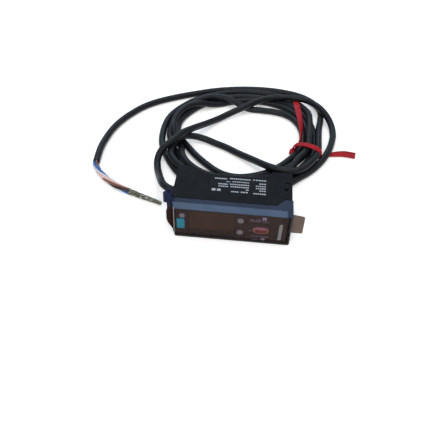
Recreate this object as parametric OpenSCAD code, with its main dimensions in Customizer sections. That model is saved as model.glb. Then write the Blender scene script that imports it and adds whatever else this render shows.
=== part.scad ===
// Fibre optic sensor amplifier, lying on its wide side with its control panel towards -Y.
// X runs along the case from the cable end to the fibre end, Y from the panel back to the
// rail foot, Z through the thickness. All places are measured from the corner of the case
// at the cable end, and one shift at the end puts the origin under the middle of the body.

/* [Case] */
// Length of the case from the cable end to the fibre end
case_l = 64; // [62:0.5:70]
// Thickness of the case, which is its height as it lies
case_t = 20.5; // [20:0.5:24]
// Depth from the front of the dust cover to the back of the rail feet
case_d = 36; // [35.5:0.5:40]
// Wall of the case
wall = 1.5; // [1.3:0.1:1.8]
// Wall of the narrowed rim that the dust cover wraps round
rim_wall = 1.3; // [1.1:0.1:1.5]
// Depth of the case's front rim behind the front of the dust cover
rim_y = 5; // [4.8:0.1:5.4]
// Thickness of each cheek beside the fibre lever
cheek = 3; // [2.7:0.1:3.3]
// Depth of the label's recess
label_recess = 0.25; // [0.2:0.05:0.4]
// Length of the rating label
label_l = 33.7; // [28:0.5:35]
// Width of the rating label
label_w = 13.4; // [11:0.2:14]

/* [Rail foot] */
// Width of the standard mounting rail
rail_w = 35; // [34.8:0.1:35.4]
// Depth of the feet beyond the seat of the rail
foot_d = 6; // [5.6:0.1:6.6]
// Length of the foot at the fibre end
foot_l = 10.8; // [10:0.2:12]
// How far each hook reaches under the rail's edge
hook_reach = 1.6; // [1.2:0.1:1.8]
// Gap between the rail's seat and the hooks, for the rail's 1 mm flange
flange_gap = 1.3; // [1.1:0.1:1.5]

/* [Dust cover] */
// Front wall of the dust cover
cover_front_t = 0.7; // [0.6:0.05:0.8]
// Side walls of the dust cover
cover_side_t = 0.9; // [0.8:0.05:1.1]
// End wall of the dust cover at the fibre end
cover_end_t = 0.9; // [0.8:0.05:1.1]
// How far the side walls reach back
cover_depth = 8.4; // [8:0.1:8.8]
// How far the end wall at the fibre end reaches back
cover_end_depth = 13.5; // [12.8:0.1:14]
// Length of the deep part of the side walls at the fibre end
cover_deep_l = 4.1; // [3.6:0.1:5]
// Length of the slanted step to the deep part
cover_step_l = 4.6; // [4:0.1:6]
// Distance from the cable end of the case to the hinge axis
hinge_out = 2.2; // [2.1:0.05:2.5]
// Depth of the hinge axis behind the front of the dust cover
hinge_y = 12.8; // [12.5:0.1:13.5]
// Radius of the hinge knuckles
knuckle_r = 1.9; // [1.7:0.05:1.9]
// Height of each hinge knuckle
knuckle_h = 5.9; // [5.4:0.1:6.2]
// Radius of the hinge studs on the case
stud_r = 0.8; // [0.7:0.05:0.9]
// Length of the finger tab
tab_l = 6.1; // [5:0.1:7]
// Width of the finger tab
tab_w = 12.4; // [10:0.2:13]
// Thickness of the finger tab
tab_t = 1; // [0.8:0.1:1.2]

/* [Front panel] */
// Gap between the dust cover's front wall and the panel
panel_gap = 0.5; // [0.45:0.05:0.6]
// Thickness of the panel plate
panel_t = 1.6; // [1.5:0.1:1.8]
// Width of the frame between the set button and the display window
set_frame = 2.4; // [2.2:0.1:2.6]
// Width of the frame between the display window and the up and down buttons
key_frame = 1.4; // [1.2:0.1:1.8]
// Width of the display window
window_w = 15.2; // [14:0.1:15.4]
// Thickness of the display window
window_t = 1; // [0.8:0.05:1.05]

/* [Keys and indicator] */
// Length of the teal set button along the case
set_l = 4.2; // [3.8:0.1:4.4]
// Width of the teal set button
set_w = 6.8; // [6:0.1:7]
// Radius of the round preset button
preset_r = 1.5; // [1.3:0.05:1.55]
// Radius of the up and down buttons
key_r = 1.7; // [1.5:0.05:1.8]
// Distance from the fibre end to the middle of the up and down buttons
key_back = 26.4; // [26:0.1:26.6]
// Distance between the up and down buttons
key_pitch = 8.4; // [7.6:0.1:8.8]
// Travel of the buttons
key_travel = 0.35; // [0.25:0.05:0.4]
// How far the buttons stand proud of the panel
key_proud = 0.25; // [0.15:0.05:0.3]
// Length of the pill-shaped indicator lens
lens_l = 8.3; // [7.5:0.1:8.6]
// Width of the pill-shaped indicator lens
lens_w = 4.8; // [4:0.1:5]
// Distance from the fibre end to the middle of the indicator lens
lens_back = 15.4; // [15:0.1:15.8]

/* [Boards] */
// Thickness of the circuit boards
board_t = 1; // [0.8:0.1:1.2]
// Depth of the display board's front face behind the front of the dust cover
display_board_y = 6.8; // [6.7:0.05:7]

/* [Fibre end] */
// Radius of the fibre bores, for fibres of 2.2 mm
fibre_r = 1.15; // [1.12:0.01:1.2]
// Distance between the two fibre bores
fibre_pitch = 8; // [7.4:0.1:8.4]
// Reach of the lever's pressing lobe from its axis
lobe_r = 2.5; // [2.3:0.05:2.6]
// Radius of the lever's trunnions
trunnion_r = 0.95; // [0.85:0.05:1]
// Distance from the fibre end of the case to the lever's axis
lever_back = 3.3; // [3.1:0.1:3.4]
// Length of the pocket in which the lever turns
pocket_l = 6; // [5.8:0.1:6.4]
// Length of the optical block behind the pocket
block_l = 11; // [10:0.2:12]

/* [Cable] */
// Diameter of the cable
cable_d = 4.2; // [3.8:0.1:4.3]
// Gap between the cable and the case's inner wall towards the rail
cable_gap = 1; // [1:0.1:1.8]
// Length of the bushing outside the case
bushing_out = 2; // [1.6:0.1:2.4]
// Diameter of one insulated core
core_d = 1.2; // [1:0.05:1.25]
// Width of the red tie
tie_w = 3.2; // [2.5:0.1:4]
// Thickness of the red tie
tie_t = 0.9; // [0.6:0.1:0.9]

/* [Clearances] */
// Gap between the dust cover and the case
cover_gap = 0.3; // [0.25:0.05:0.35]
// Gap between the dust cover and the face that the case lies on
cover_lift = 0.15; // [0.1:0.05:0.2]
// Radial play of pins and buttons in their holes
play = 0.05; // [0.03:0.01:0.08]

/* [Hidden] */
$fn = 48;
eps = 0.01;

// Levels in Y, from the front back
panel_y = cover_front_t + panel_gap;
panel_back = panel_y + panel_t;
flange_y = panel_back + 0.1;
flange_t = 0.5;
switch_h = 1.5;
switch_y = display_board_y - switch_h;
switch_tip = 0.2;
stem_end = switch_y - switch_tip - key_travel - 0.05;
board_back = display_board_y + board_t;
shelf_t = 1.4;
rail_y = case_d - foot_d;
floor_y = rail_y - wall;
cable_y = floor_y - cable_gap - cable_d / 2;

// Levels in Z, through the thickness
mid_z = case_t / 2;
recess_z = cover_lift + cover_side_t + cover_gap;
cover_z0 = cover_lift;
cover_z1 = case_t - cover_lift;
rim_in = recess_z + rim_wall;
shelf_in = rim_in + 0.95;

// Places in X
cover_end_x = case_l + 0.5;
end_clear_x = cover_end_x - cover_end_t - cover_gap;
pocket_x = case_l - pocket_l;
bulkhead_x = pocket_x - wall;
block_x = pocket_x - block_l;
rail_right = case_l - foot_l;
rail_left = rail_right - rail_w;
panel_right = end_clear_x - 1.1;
rim_right = end_clear_x - 0.5;
rim_left_in = 3.2;

// The dust cover's outline at the cable end: front corner, bend and tip of the end wall
corner_a = [2.4, 0];
corner_b = [0.4, 5.6];
corner_c = [-2.9, 9.8];
hinge = [-hinge_out, hinge_y];

// Places on the panel
set_x = 5.8;
set_z = 8.8;
preset_x = 6.7;
preset_z = set_z + set_w / 2 + preset_r + 0.9;
key_x = case_l - key_back;
key_mid_z = 9.9;
up_z = key_mid_z + key_pitch / 2;
down_z = key_mid_z - key_pitch / 2;
window_x = set_x + set_l / 2 + set_frame;
window_l = key_x - key_r - key_frame - window_x;
window_z = key_mid_z - window_w / 2;
lens_x = case_l - lens_back;
lens_z = 8.1;

// The fibre lever
fibre_y = floor_y - 2.3;
nose_front = fibre_y - 1.8;
nose_back = fibre_y + 1.8;
lever_x = case_l - lever_back;
lever_y = nose_front - 0.2 - lobe_r;
lever_hub_r = 1.8;
lever_top = cover_end_depth + 1.5;
block_d = 8.4;
pocket_top = lever_top - 0.4;

// The whole body without its cord, whose middle becomes the origin
thumb_r = 1.4;
thumb = hinge + [-1.4, -1.2];
body_left = thumb[0] - thumb_r;
body_right = cover_end_x + tab_l;
shift = [-(body_left + body_right) / 2, -case_d / 2, 0];

// The cable's route, in places of this frame, from the bushing to the end of its sheath
exit_route = [
    [-bushing_out, cable_y, mid_z], [-4.2, cable_y, mid_z], [-7.3, 26.6, 9.9],
    [-9.6, 29.4, 9.2], [-11, 34, 7.9], [-13, 42.5, 5.1], [-15.6, 51, 3.1], [-17, 59, 3.9],
    [-14.8, 66.3, 7.9], [-8.2, 74.5, 10.5]
];
rise_route = [
    [-8.2, 74.5, 10.5], [-2, 85, 10.4], [5, 96, 6.8], [14, 109.5, 3.1], [25, 119.4, 3.9],
    [35, 125.4, 6.3], [41.4, 131.5, 6.3]
];
outer_route = [
    [41.4, 131.5, 6.3], [50, 137, 6.3], [60, 139.3, 6.3], [70, 139.5, 6.4], [79, 136, 6.5],
    [86, 127.8, 6.6], [89, 123, 5.9], [91.8, 117.5, 4.1], [93.9, 107, 2.2], [92.8, 95.5, 2.3],
    [89.5, 83, 3.3], [84.5, 72.5, 2.9], [78, 63, 2.1], [70.4, 55.3, 2.1], [63, 48.9, 2.1]
];
lower_route = [
    [30, 51.4, 2.1], [21, 54.5, 2.1], [14, 60.3, 2.1], [7, 67.6, 2.1], [0.5, 76, 2.1],
    [-4.4, 84, 2.1]
];
diagonal_route = [
    [-8, 77.5, 6.3], [-4.3, 83.2, 6.2], [0.4, 86.2, 5.1], [7.3, 87.1, 3.2], [16.9, 83.8, 2.1],
    [25, 79.6, 2.1], [33, 74, 2.4], [41.3, 67.6, 3.6], [50.1, 59.9, 5.9], [58, 56.3, 6.3],
    [65.5, 55.9, 6.3], [71.5, 59, 6.3], [76.5, 65, 6.2], [80.1, 71.6, 5.6]
];
tail_route = [
    [80.1, 71.6, 5.6], [82.4, 80.5, 4.7], [83.2, 92, 4.2], [84.1, 106, 3.4], [86.2, 119, 2.3],
    [86.2, 131, 2.1], [81, 142.5, 2.1], [72, 149.8, 2.1], [61.8, 153.3, 2.1], [51, 154.9, 2.1],
    [39, 155, 2.1], [27, 153.5, 2.1], [15, 150.6, 2.1], [3, 146.2, 2.1], [-9, 140.6, 2.1],
    [-20, 134.7, 2.1], [-30.2, 128, 2.1], [-38, 120.7, 2.1], [-44.5, 111.5, 2.1],
    [-49.8, 101, 2.1], [-53.5, 90, 2.1], [-55.4, 78.5, 2.1], [-55.8, 67, 2.1], [-55, 55, 2.1]
];
core_route = [
    [-55, 55, 2.1], [-54.8, 52, 2.1], [-50, 46.3, 1.8], [-42, 38.4, 1.7], [-33, 32.6, 1.7],
    [-25.5, 29.2, 1.7]
];
tip_route = [[-25.5, 29.2, 1.7], [-21.5, 27.4, 1.7], [-17, 25.5, 1.4], [-8.5, 20.8, 0.8]];

// The coil that the rest of the cable makes, one turn high and a little longer along Y than along
// X, with a round opening that lies towards the case
coil_centre = [30, 94.5];
coil_in_shift = [4, -5];
coil_in_r = 37;
coil_out_r = 57;
coil_h = cable_d + 0.2;
coil_squeeze = 0.93;
// Turns of the coil that cross over the others
high_turn_route = [
    [71, 138, 2.4], [75.8, 129, 3.8], [77.4, 120, 6], [77.8, 108, 6.2], [77.2, 95, 5.7],
    [76.4, 84.6, 5.7], [74, 76.5, 5.7], [69.7, 70.4, 5], [65.2, 65, 4], [60.5, 59, 2.6]
];
far_turn_route = [
    [-7, 119, 2.1], [-1, 127, 3], [5.5, 131.2, 5.4], [12.5, 133, 6.3], [20, 132.4, 5.4],
    [28, 130.2, 3], [36, 128.4, 2.1]
];

// The tie. Its hoop stands over the coil's right side on a line at this angle from the coil's
// centre, as distances along that line and heights. The strip and the loose end are places and the
// direction of the tie's width
tie_angle = -14;
hoop_line = [
    [38.2, 0.1], [38.5, 4.2], [40.8, 7.3], [44.8, 8.8], [49, 9], [53.5, 8.2], [56.2, 6.9],
    [57, 4.6], [57, 0.1]
];
strip_route = [
    [[68.2, 136.6, 4.8], [1, 0.3, 0]], [[69.4, 131, 4.8], [1, 0.25, 0]],
    [[71, 124, 4.8], [1, 0.2, 0]], [[72.6, 114, 4.8], [1, 0.1, -0.1]],
    [[73, 103, 4.8], [1, 0, -0.5]], [[72, 94, 4.2], [0.5, 0, -1]],
    [[69.8, 88, 3.4], [0.2, 0, -1]], [[67.3, 85.4, 2.2], [0.2, 0.3, -1]]
];
loose_route = [
    [[84.8, 81.2, 0.45], [0, 1, 0]], [[89, 82.4, 0.45], [-0.1, 1, 0]],
    [[96, 83.6, 0.45], [-0.1, 1, 0]], [[101, 83.8, 0.45], [0.05, 1, 0]],
    [[107, 82.9, 0.45], [0.15, 1, 0]]
];

// Points of an arc, from one angle to another
function arc(centre, r, a0, a1, n = 6) =
    [for (i = [0 : n]) centre + r * [cos(a0 + (a1 - a0) * i / n), sin(a0 + (a1 - a0) * i / n)]];

// Outline of a rectangle with round corners, standing on the place given
function round_rect(place, l, w, r) = concat(
    arc(place + [l - r, r], r, -90, 0), arc(place + [l - r, w - r], r, 0, 90),
    arc(place + [r, w - r], r, 90, 180), arc(place + [r, r], r, 180, 270)
);

function unit(v) = v / norm(v);
function side_normal(p, q) = let (d = unit(q - p)) [-d[1], d[0]];

// Where the line through p along d meets the line through q along e
function crossing(p, d, q, e) =
    p + d * ((e[1] * (q[0] - p[0]) - e[0] * (q[1] - p[1])) / (d[0] * e[1] - d[1] * e[0]));

// The place at which the line from p to q, moved sideways by t, reaches the depth y
function reach_y(p, q, t, y) = crossing(p + t * side_normal(p, q), q - p, [0, y], [1, 0]);
function reach_x(p, q, t, x) = crossing(p + t * side_normal(p, q), q - p, [x, 0], [0, 1]);

// The bend between two lines that are both moved sideways by t
function bend(p, q, s, t) =
    crossing(p + t * side_normal(p, q), q - p, q + t * side_normal(q, s), s - q);

// One ring of a tube, across the direction of travel
function across(d) = unit(cross(d, [0, 0, 1]) + [0, 0, 0.0001]);
function tube_ring(p, d, r, sides) =
    let (u = across(unit(d)), v = cross(u, unit(d)))
    [for (k = [0 : sides - 1]) p + r * (u * cos(360 * k / sides) + v * sin(360 * k / sides))];

// The direction of travel at each point of a route; before and after are the neighbours' points
function heading(route, i, before = undef, after = undef) =
    let (
        last = i == 0 ? before : route[i - 1],
        next = i == len(route) - 1 ? after : route[i + 1]
    )
    is_undef(last) ? next - route[i]
    : is_undef(next) ? route[i] - last
    : unit(next - route[i]) + unit(route[i] - last);

// A tube swept along a route, with one radius at each end
module tube(route, r0, r1, sides = 8, before = undef, after = undef) {
    n = len(route);
    points = [
        for (i = [0 : n - 1])
            each tube_ring(
                route[i], heading(route, i, before, after), r0 + (r1 - r0) * i / (n - 1), sides
            )
    ];
    walls = [
        for (i = [0 : n - 2], k = [0 : sides - 1])
            [i * sides + k, (i + 1) * sides + k, (i + 1) * sides + (k + 1) % sides,
             i * sides + (k + 1) % sides]
    ];
    start = [[for (k = [0 : sides - 1]) k]];
    finish = [[for (k = [sides - 1 : -1 : 0]) (n - 1) * sides + k]];
    polyhedron(points = points, faces = concat(walls, start, finish), convexity = 6);
}

// Puts a piece from the case's corner into the frame of the whole part
module placed() translate(shift) children();

// A shape drawn in X and Z, made thick from y onwards
module facing(y, t) {
    translate([0, y + t, 0]) rotate([90, 0, 0]) linear_extrude(height = t) children();
}

// A round post along Y, Z or X from the place given
module post_y(x, y, z, r, h) translate([x, y, z]) rotate([-90, 0, 0]) cylinder(r = r, h = h);
module post_z(x, y, z, r, h) translate([x, y, z]) cylinder(r = r, h = h);
module post_x(x, y, z, r, h) translate([x, y, z]) rotate([0, 90, 0]) cylinder(r = r, h = h);

// A block between two opposite corners
module block(low, high) translate(low) cube(high - low);

// Outline of the case, seen along Z
module case_outline() {
    gap = cover_front_t + cover_gap;
    chamfer = 0.6;
    polygon([
        reach_y(corner_b, corner_a, gap, rim_y),
        [rim_right, rim_y],
        [end_clear_x, cover_end_depth + cover_gap],
        [case_l, cover_end_depth + cover_gap],
        [case_l, case_d - chamfer],
        [case_l - chamfer, case_d],
        [rail_right, case_d],
        [rail_right, rail_y],
        [rail_left - 3.8, rail_y],
        [rail_left - 13.2, case_d],
        [chamfer, case_d],
        [0, case_d - chamfer],
        reach_x(corner_c, corner_b, gap, 0),
        bend(corner_c, corner_b, corner_a, gap)
    ]);
}

// The part of the case's sides that is lowered for the dust cover's side walls
module side_recess() {
    step_x = cover_end_x - cover_deep_l;
    polygon([
        [-2, -1], [case_l + 2, -1], [case_l + 2, cover_end_depth + cover_gap],
        [step_x + 0.1, cover_end_depth + cover_gap],
        [step_x - cover_step_l + 0.1, cover_depth + cover_gap], [-2, cover_depth + cover_gap]
    ]);
}

// Lugs and studs at the cable end, on which the dust cover turns
module hinge_lugs() {
    lug_t = 1.4;
    lug_r = stud_r + 0.7;
    low = cover_z0 + knuckle_h + 0.2;
    high = cover_z1 - knuckle_h - 0.2 - lug_t;
    for (z = [low, high]) {
        post_z(hinge[0], hinge[1], z, lug_r, lug_t);
        block([hinge[0], hinge[1] - lug_r, z], [eps, hinge[1] + lug_r, z + lug_t]);
    }
    post_z(hinge[0], hinge[1], cover_z0 + 0.4, stud_r, low - cover_z0 - 0.4 + eps);
    post_z(hinge[0], hinge[1], high + lug_t - eps, stud_r, cover_z1 - high - lug_t - 0.4);
}

// Fixed hook at the fibre end of the rail seat
module rail_hook() {
    top = rail_y + flange_gap;
    translate([0, 0, cheek])
        linear_extrude(height = case_t - 2 * cheek)
            polygon([
                [rail_right + eps, top], [rail_right - hook_reach, top],
                [rail_right - hook_reach, top + 1], [rail_right + eps, top + 3]
            ]);
}

// Springy claw at the cable end of the rail seat, moulded with the case
module rail_claw() {
    top = rail_y + flange_gap;
    claw_w = 8.5;
    arm_t = 1.2;
    translate([0, 0, mid_z - claw_w / 2])
        linear_extrude(height = claw_w)
            polygon([
                [rail_left - 14, case_d - arm_t], [rail_left - 1.6, case_d - arm_t],
                [rail_left - 1.6, rail_y + 0.6], [rail_left - 0.1, rail_y + 0.6],
                [rail_left - 0.1, top], [rail_left + hook_reach, top],
                [rail_left + hook_reach, top + 0.8], [rail_left + 0.4, case_d],
                [rail_left - 14, case_d]
            ]);
}

// Room inside the case for the boards
module case_cavity() {
    block([rim_left_in, rim_y - 1, rim_in], [bulkhead_x, board_back, case_t - rim_in]);
    block(
        [rim_left_in + 1, board_back - eps, shelf_in],
        [bulkhead_x - 1, board_back + shelf_t + eps, case_t - shelf_in]
    );
    block([wall, board_back + shelf_t, wall], [bulkhead_x, floor_y, case_t - wall]);
}

// Two rails on the lower wall that carry the main board
board_z = wall + 1.1;
module board_rails() {
    for (y = [board_back + shelf_t + 1.2, floor_y - 4])
        block([6, y, wall - eps], [block_x - 3, y + 1.2, board_z]);
}

// Open pocket at the fibre end for the lever and the fibre nose
module lever_pocket() {
    block([pocket_x, pocket_top, cheek], [case_l + 1, floor_y, case_t - cheek]);
    block([bulkhead_x - eps, floor_y - block_d - 0.1, cheek], [pocket_x + eps, floor_y, case_t - cheek]);
    post_z(lever_x, lever_y, -1, trunnion_r + play, case_t + 2);
    block(
        [lever_x - 0.2, nose_front + 2, -1],
        [lever_x + 2.2, nose_front + 3.2, case_t + 1]
    );
}

// Shallow seat of the rating label
label_x = 18.6;
label_y = 15.2;
module label_seat() {
    translate([0, 0, case_t - label_recess])
        linear_extrude(height = 1) polygon(round_rect([label_x, label_y], label_l, label_w, 0.6));
}

bushing_r = cable_d / 2 + 0.9;
bushing_neck_r = cable_d / 2 + 0.55;

module main_case() color([0.13, 0.14, 0.155]) placed() {
    difference() {
        union() {
            difference() {
                linear_extrude(height = case_t) case_outline();
                for (z = [-1, case_t - recess_z])
                    translate([0, 0, z]) linear_extrude(height = recess_z + 1) side_recess();
            }
            hinge_lugs();
            rail_hook();
            rail_claw();
        }
        case_cavity();
        lever_pocket();
        label_seat();
        post_x(-1, cable_y, mid_z, bushing_neck_r + play, wall + 2);
    }
    board_rails();
}

// Holes of the keys, the window and the indicator in the panel
module panel_openings() {
    facing(panel_y - 1, panel_t + 2) {
        polygon(round_rect(
            [set_x - set_l / 2 - play, set_z - set_w / 2 - play],
            set_l + 2 * play, set_w + 2 * play, 0.7
        ));
        polygon(round_rect(
            [lens_x - lens_l / 2 - play, lens_z - lens_w / 2 - play],
            lens_l + 2 * play, lens_w + 2 * play, lens_w / 2
        ));
        polygon(round_rect([window_x + 1, window_z + 1], window_l - 2, window_w - 2, 0.4));
    }
    facing(panel_y - 1, window_t + 1.15)
        polygon(round_rect(
            [window_x - play, window_z - play], window_l + 2 * play, window_w + 2 * play, 0.5
        ));
    post_y(preset_x, panel_y - 1, preset_z, preset_r + play, panel_t + 2);
    for (z = [up_z, down_z]) post_y(key_x, panel_y - 1, z, key_r + play, panel_t + 2);
}

module front_panel() color([0.2, 0.16, 0.15]) placed() {
    gap = cover_front_t + cover_gap;
    front_left = reach_y(corner_b, corner_a, gap, panel_y);
    skirt = 1.1;
    lip_t = 0.6;
    difference() {
        union() {
            translate([0, 0, recess_z])
                linear_extrude(height = case_t - 2 * recess_z)
                    polygon([
                        front_left, [panel_right, panel_y], [rim_right, rim_y],
                        reach_y(corner_b, corner_a, gap, rim_y)
                    ]);
            block(
                [rim_left_in + play, rim_y - eps, rim_in + play],
                [bulkhead_x - play, display_board_y - 0.1, case_t - rim_in - play]
            );
        }
        block(
            [rim_left_in + 0.15, panel_back, rim_in - 0.2],
            [panel_right - skirt, rim_y - 0.8, case_t - rim_in + 0.2]
        );
        block(
            [rim_left_in + play + lip_t, panel_back, rim_in + play + lip_t],
            [bulkhead_x - play - lip_t, display_board_y + 1, case_t - rim_in - play - lip_t]
        );
        panel_openings();
        facing(panel_y - 1, 1.2)
            polygon(round_rect([3.6, set_z - set_w / 2 - 2.2], 5.9, set_w + 6.8, 0.8));
    }
}

module display_window() color([0.09, 0.055, 0.045]) placed()
    facing(panel_y + 0.15, window_t)
        polygon(round_rect([window_x, window_z], window_l, window_w, 0.45));

// One figure of seven bars, leaning a little
module seven_bars(h) {
    bar = 0.7;
    w = h * 0.55;
    multmatrix([[1, 0.12, 0, 0], [0, 1, 0, 0], [0, 0, 1, 0]]) {
        for (z = [0, h / 2, h]) translate([bar * 0.6, z - bar / 2]) square([w - bar * 1.2, bar]);
        for (x = [0, w], z = [0, h / 2])
            translate([x - bar / 2, z + bar * 0.6]) square([bar, h / 2 - bar * 1.2]);
    }
}

module digit_display() color([0.16, 0.1, 0.1]) placed() {
    digits = 4;
    edge = 1.1;
    low = [window_x + edge, window_z + edge];
    size = [window_l - 2 * edge, window_w - 2 * edge];
    pitch = size[0] / digits;
    digit_h = pitch * 1.36;
    difference() {
        facing(panel_back + 0.15, display_board_y - panel_back - 0.15)
            polygon(round_rect(low, size[0], size[1], 0.3));
        for (i = [0 : digits - 1])
            translate([low[0] + pitch * (i + 0.15), 0, low[1] + (size[1] - digit_h) / 2])
                facing(panel_back - 1, 1.3) seven_bars(digit_h);
    }
}

module display_board() color([0.1, 0.32, 0.2]) placed()
    facing(display_board_y, board_t)
        polygon(round_rect(
            [rim_left_in + 0.2, rim_in + 0.2], bulkhead_x - rim_left_in - 0.4,
            case_t - 2 * rim_in - 0.4, 0.5
        ));

// Key switches behind the four buttons, each drawn with its plunger down
module key_switches() color([0.5, 0.5, 0.5]) placed() {
    side = 3;
    for (p = [[set_x, set_z], [preset_x, preset_z], [key_x, up_z], [key_x, down_z]]) {
        facing(switch_y, switch_h)
            polygon(round_rect([p[0] - side / 2, p[1] - side / 2], side, side, 0.3));
        post_y(p[0], switch_y - switch_tip, p[1], 0.6, switch_tip + eps);
    }
}

// Pill-shaped lens with a stepped front and a flange behind the panel
module indicator_lens() color([0.75, 0.25, 0.12]) placed() {
    proud = 0.35;
    edge = 0.6;
    facing(panel_y + 0.1, panel_t + 0.1)
        polygon(round_rect([lens_x - lens_l / 2, lens_z - lens_w / 2], lens_l, lens_w, lens_w / 2));
    facing(panel_y - proud, proud + 0.2)
        polygon(round_rect(
            [lens_x - lens_l / 2 + edge, lens_z - lens_w / 2 + edge],
            lens_l - 2 * edge, lens_w - 2 * edge, lens_w / 2 - edge
        ));
    facing(panel_back, 0.9)
        polygon(round_rect(
            [lens_x - lens_l / 2 - 0.5, lens_z - lens_w / 2 - 0.5],
            lens_l + 1, lens_w + 1, lens_w / 2 + 0.5
        ));
}

module indicator_leds() color([0.9, 0.88, 0.8]) placed()
    for (x = [lens_x - lens_l / 4, lens_x + lens_l / 4])
        block([x - 0.8, display_board_y - 0.8, lens_z - 0.6], [x + 0.8, display_board_y, lens_z + 0.6]);

board_x0 = rim_left_in + 0.8;
board_x1 = block_x - 0.5;
board_y0 = board_back + shelf_t + 0.2;
board_y1 = floor_y - 0.5;
board_top = board_z + board_t;
transistor_side = 3;
transistor_back = 12;
transistor_x = board_x1 - transistor_back;
chip_side = 7;
chip_gap = 3.5;
chip_x = transistor_x - chip_gap - chip_side;
module main_board() color([0.1, 0.32, 0.2]) placed()
    translate([0, 0, board_z])
        linear_extrude(height = board_t)
            polygon(round_rect([board_x0, board_y0], board_x1 - board_x0, board_y1 - board_y0, 0.6));

// Right-angled header between the two boards
module board_header() color([0.9, 0.88, 0.82]) placed() {
    header_l = 22;
    header_h = 2.5;
    header_d = 3;
    header_back = 6.5;
    header_x = board_x1 - header_back - header_l;
    block(
        [header_x, board_back, board_top],
        [header_x + header_l, board_y0 + header_d, board_top + header_h]
    );
}

module controller_chip() color([0.08, 0.08, 0.09]) placed() {
    side = chip_side;
    leg = 0.8;
    legs = 8;
    pitch = side / (legs + 1);
    place = [chip_x, board_y0 + 5.6];
    block(
        [place[0], place[1], board_top + 0.1], [place[0] + side, place[1] + side, board_top + 1.2]
    );
    for (k = [1 : legs], y = [place[1] - leg, place[1] + side - eps]) {
        x = place[0] + k * pitch;
        block([x - 0.18, y, board_top], [x + 0.18, y + leg + eps, board_top + 0.4]);
    }
}

module power_capacitors() color([0.25, 0.25, 0.3]) placed()
    for (y = [board_y0 + 4.6, board_y0 + 11.1]) {
        post_z(board_x0 + 8.5, y, board_top, 2.6, 0.5);
        post_z(board_x0 + 8.5, y, board_top + 0.5 - eps, 2.4, 5.5);
    }

module output_transistors() color([0.08, 0.08, 0.09]) placed()
    for (y = [board_y0 + 4.6, board_y0 + 9.6]) {
        side = transistor_side;
        x0 = transistor_x;
        block([x0, y, board_top], [x0 + side, y + side, board_top + 1.2]);
        for (x = [x0 + 0.1, x0 + side - 0.7])
            block([x, y - 0.8, board_top], [x + 0.6, y + eps, board_top + 0.4]);
    }

// Block that holds the light sources and carries the fibre bores out to the nose
pocket_r = 1.5 + play;
module optical_block() color([0.1, 0.1, 0.11]) placed()
    difference() {
        union() {
            block(
                [block_x, floor_y - block_d, cheek + play],
                [pocket_x, floor_y, case_t - cheek - play]
            );
            block(
                [pocket_x - eps, nose_front, cheek + 0.3], [case_l - 0.2, nose_back, case_t - cheek - 0.3]
            );
            block(
                [lever_x + 0.1, nose_front + 2.15, 0.6],
                [lever_x + 1.9, nose_front + 3.05, case_t - 0.6]
            );
        }
        for (z = [mid_z - fibre_pitch / 2, mid_z + fibre_pitch / 2]) {
            post_x(block_x - 1, fibre_y, z, fibre_r, case_l - block_x + 2);
            post_x(block_x - 1, fibre_y, z, pocket_r, 2.5);
        }
    }

// A round light source or receiver in its pocket, with two legs bent down to the board
module light_device(z, leg) {
    bent = block_x - 3.8 - leg;
    post_x(block_x - 3.4, fibre_y, z, 1.5, 4.7);
    post_x(block_x - 3.8, fibre_y, z, 1.85, 0.8);
    for (y = [fibre_y - 0.9, fibre_y + 0.5]) {
        block([bent, y, z - 0.2], [block_x - 3.7, y + 0.4, z + 0.2]);
        block([bent - 0.4, y, board_top], [bent, y + 0.4, z + 0.2]);
    }
}

module emitter_led() color([0.8, 0.2, 0.2]) placed() light_device(mid_z - fibre_pitch / 2, 1.2);
module receiver_diode() color([0.15, 0.15, 0.2]) placed()
    light_device(mid_z + fibre_pitch / 2, 2.4);

module cable_bushing() color([0.08, 0.085, 0.09]) placed()
    difference() {
        union() {
            translate([-bushing_out, cable_y, mid_z]) rotate([0, 90, 0])
                cylinder(r1 = bushing_r - 0.4, r2 = bushing_r, h = bushing_out);
            post_x(-eps, cable_y, mid_z, bushing_neck_r, wall + 2 * eps);
            post_x(wall, cable_y, mid_z, bushing_r, 1.2);
        }
        post_x(-bushing_out - 1, cable_y, mid_z, cable_d / 2 + play, bushing_out + wall + 4);
    }

lead_end = 5.5;
module inner_lead() color([0.1, 0.105, 0.11]) placed()
    post_x(-bushing_out, cable_y, mid_z, cable_d / 2, bushing_out + lead_end);

// The cores inside the case, from the end of the sheath down to the board
module inner_cores() color([0.5, 0.3, 0.2]) placed() {
    r = core_d / 2 - 0.2;
    drop_x = lead_end + 2.5;
    for (k = [-2 : 2]) {
        y = cable_y + k * 0.85;
        post_x(lead_end, y, mid_z, r, drop_x - lead_end);
        translate([drop_x, y, mid_z]) sphere(r = r);
        post_z(drop_x, y, board_top, r, mid_z - board_top);
    }
}

module rating_label() color([0.1, 0.11, 0.12]) placed()
    translate([0, 0, case_t - label_recess])
        linear_extrude(height = label_recess - 0.05)
            polygon(round_rect([label_x + 0.1, label_y + 0.1], label_l - 0.2, label_w - 0.2, 0.5));

// Outline of the dust cover's side walls
module cover_side_outline() {
    step_x = cover_end_x - cover_deep_l;
    polygon(concat(
        [reach_y(corner_c, corner_b, 0, cover_depth), corner_b],
        arc(corner_a + [0.75, 0.75], 0.75, 200, 270, 3),
        arc([cover_end_x - 1.6, 1.6], 1.6, -90, 0, 6),
        [[cover_end_x, cover_end_depth], [step_x, cover_end_depth],
         [step_x - cover_step_l, cover_depth], [-cover_gap, cover_depth]]
    ));
}

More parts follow.
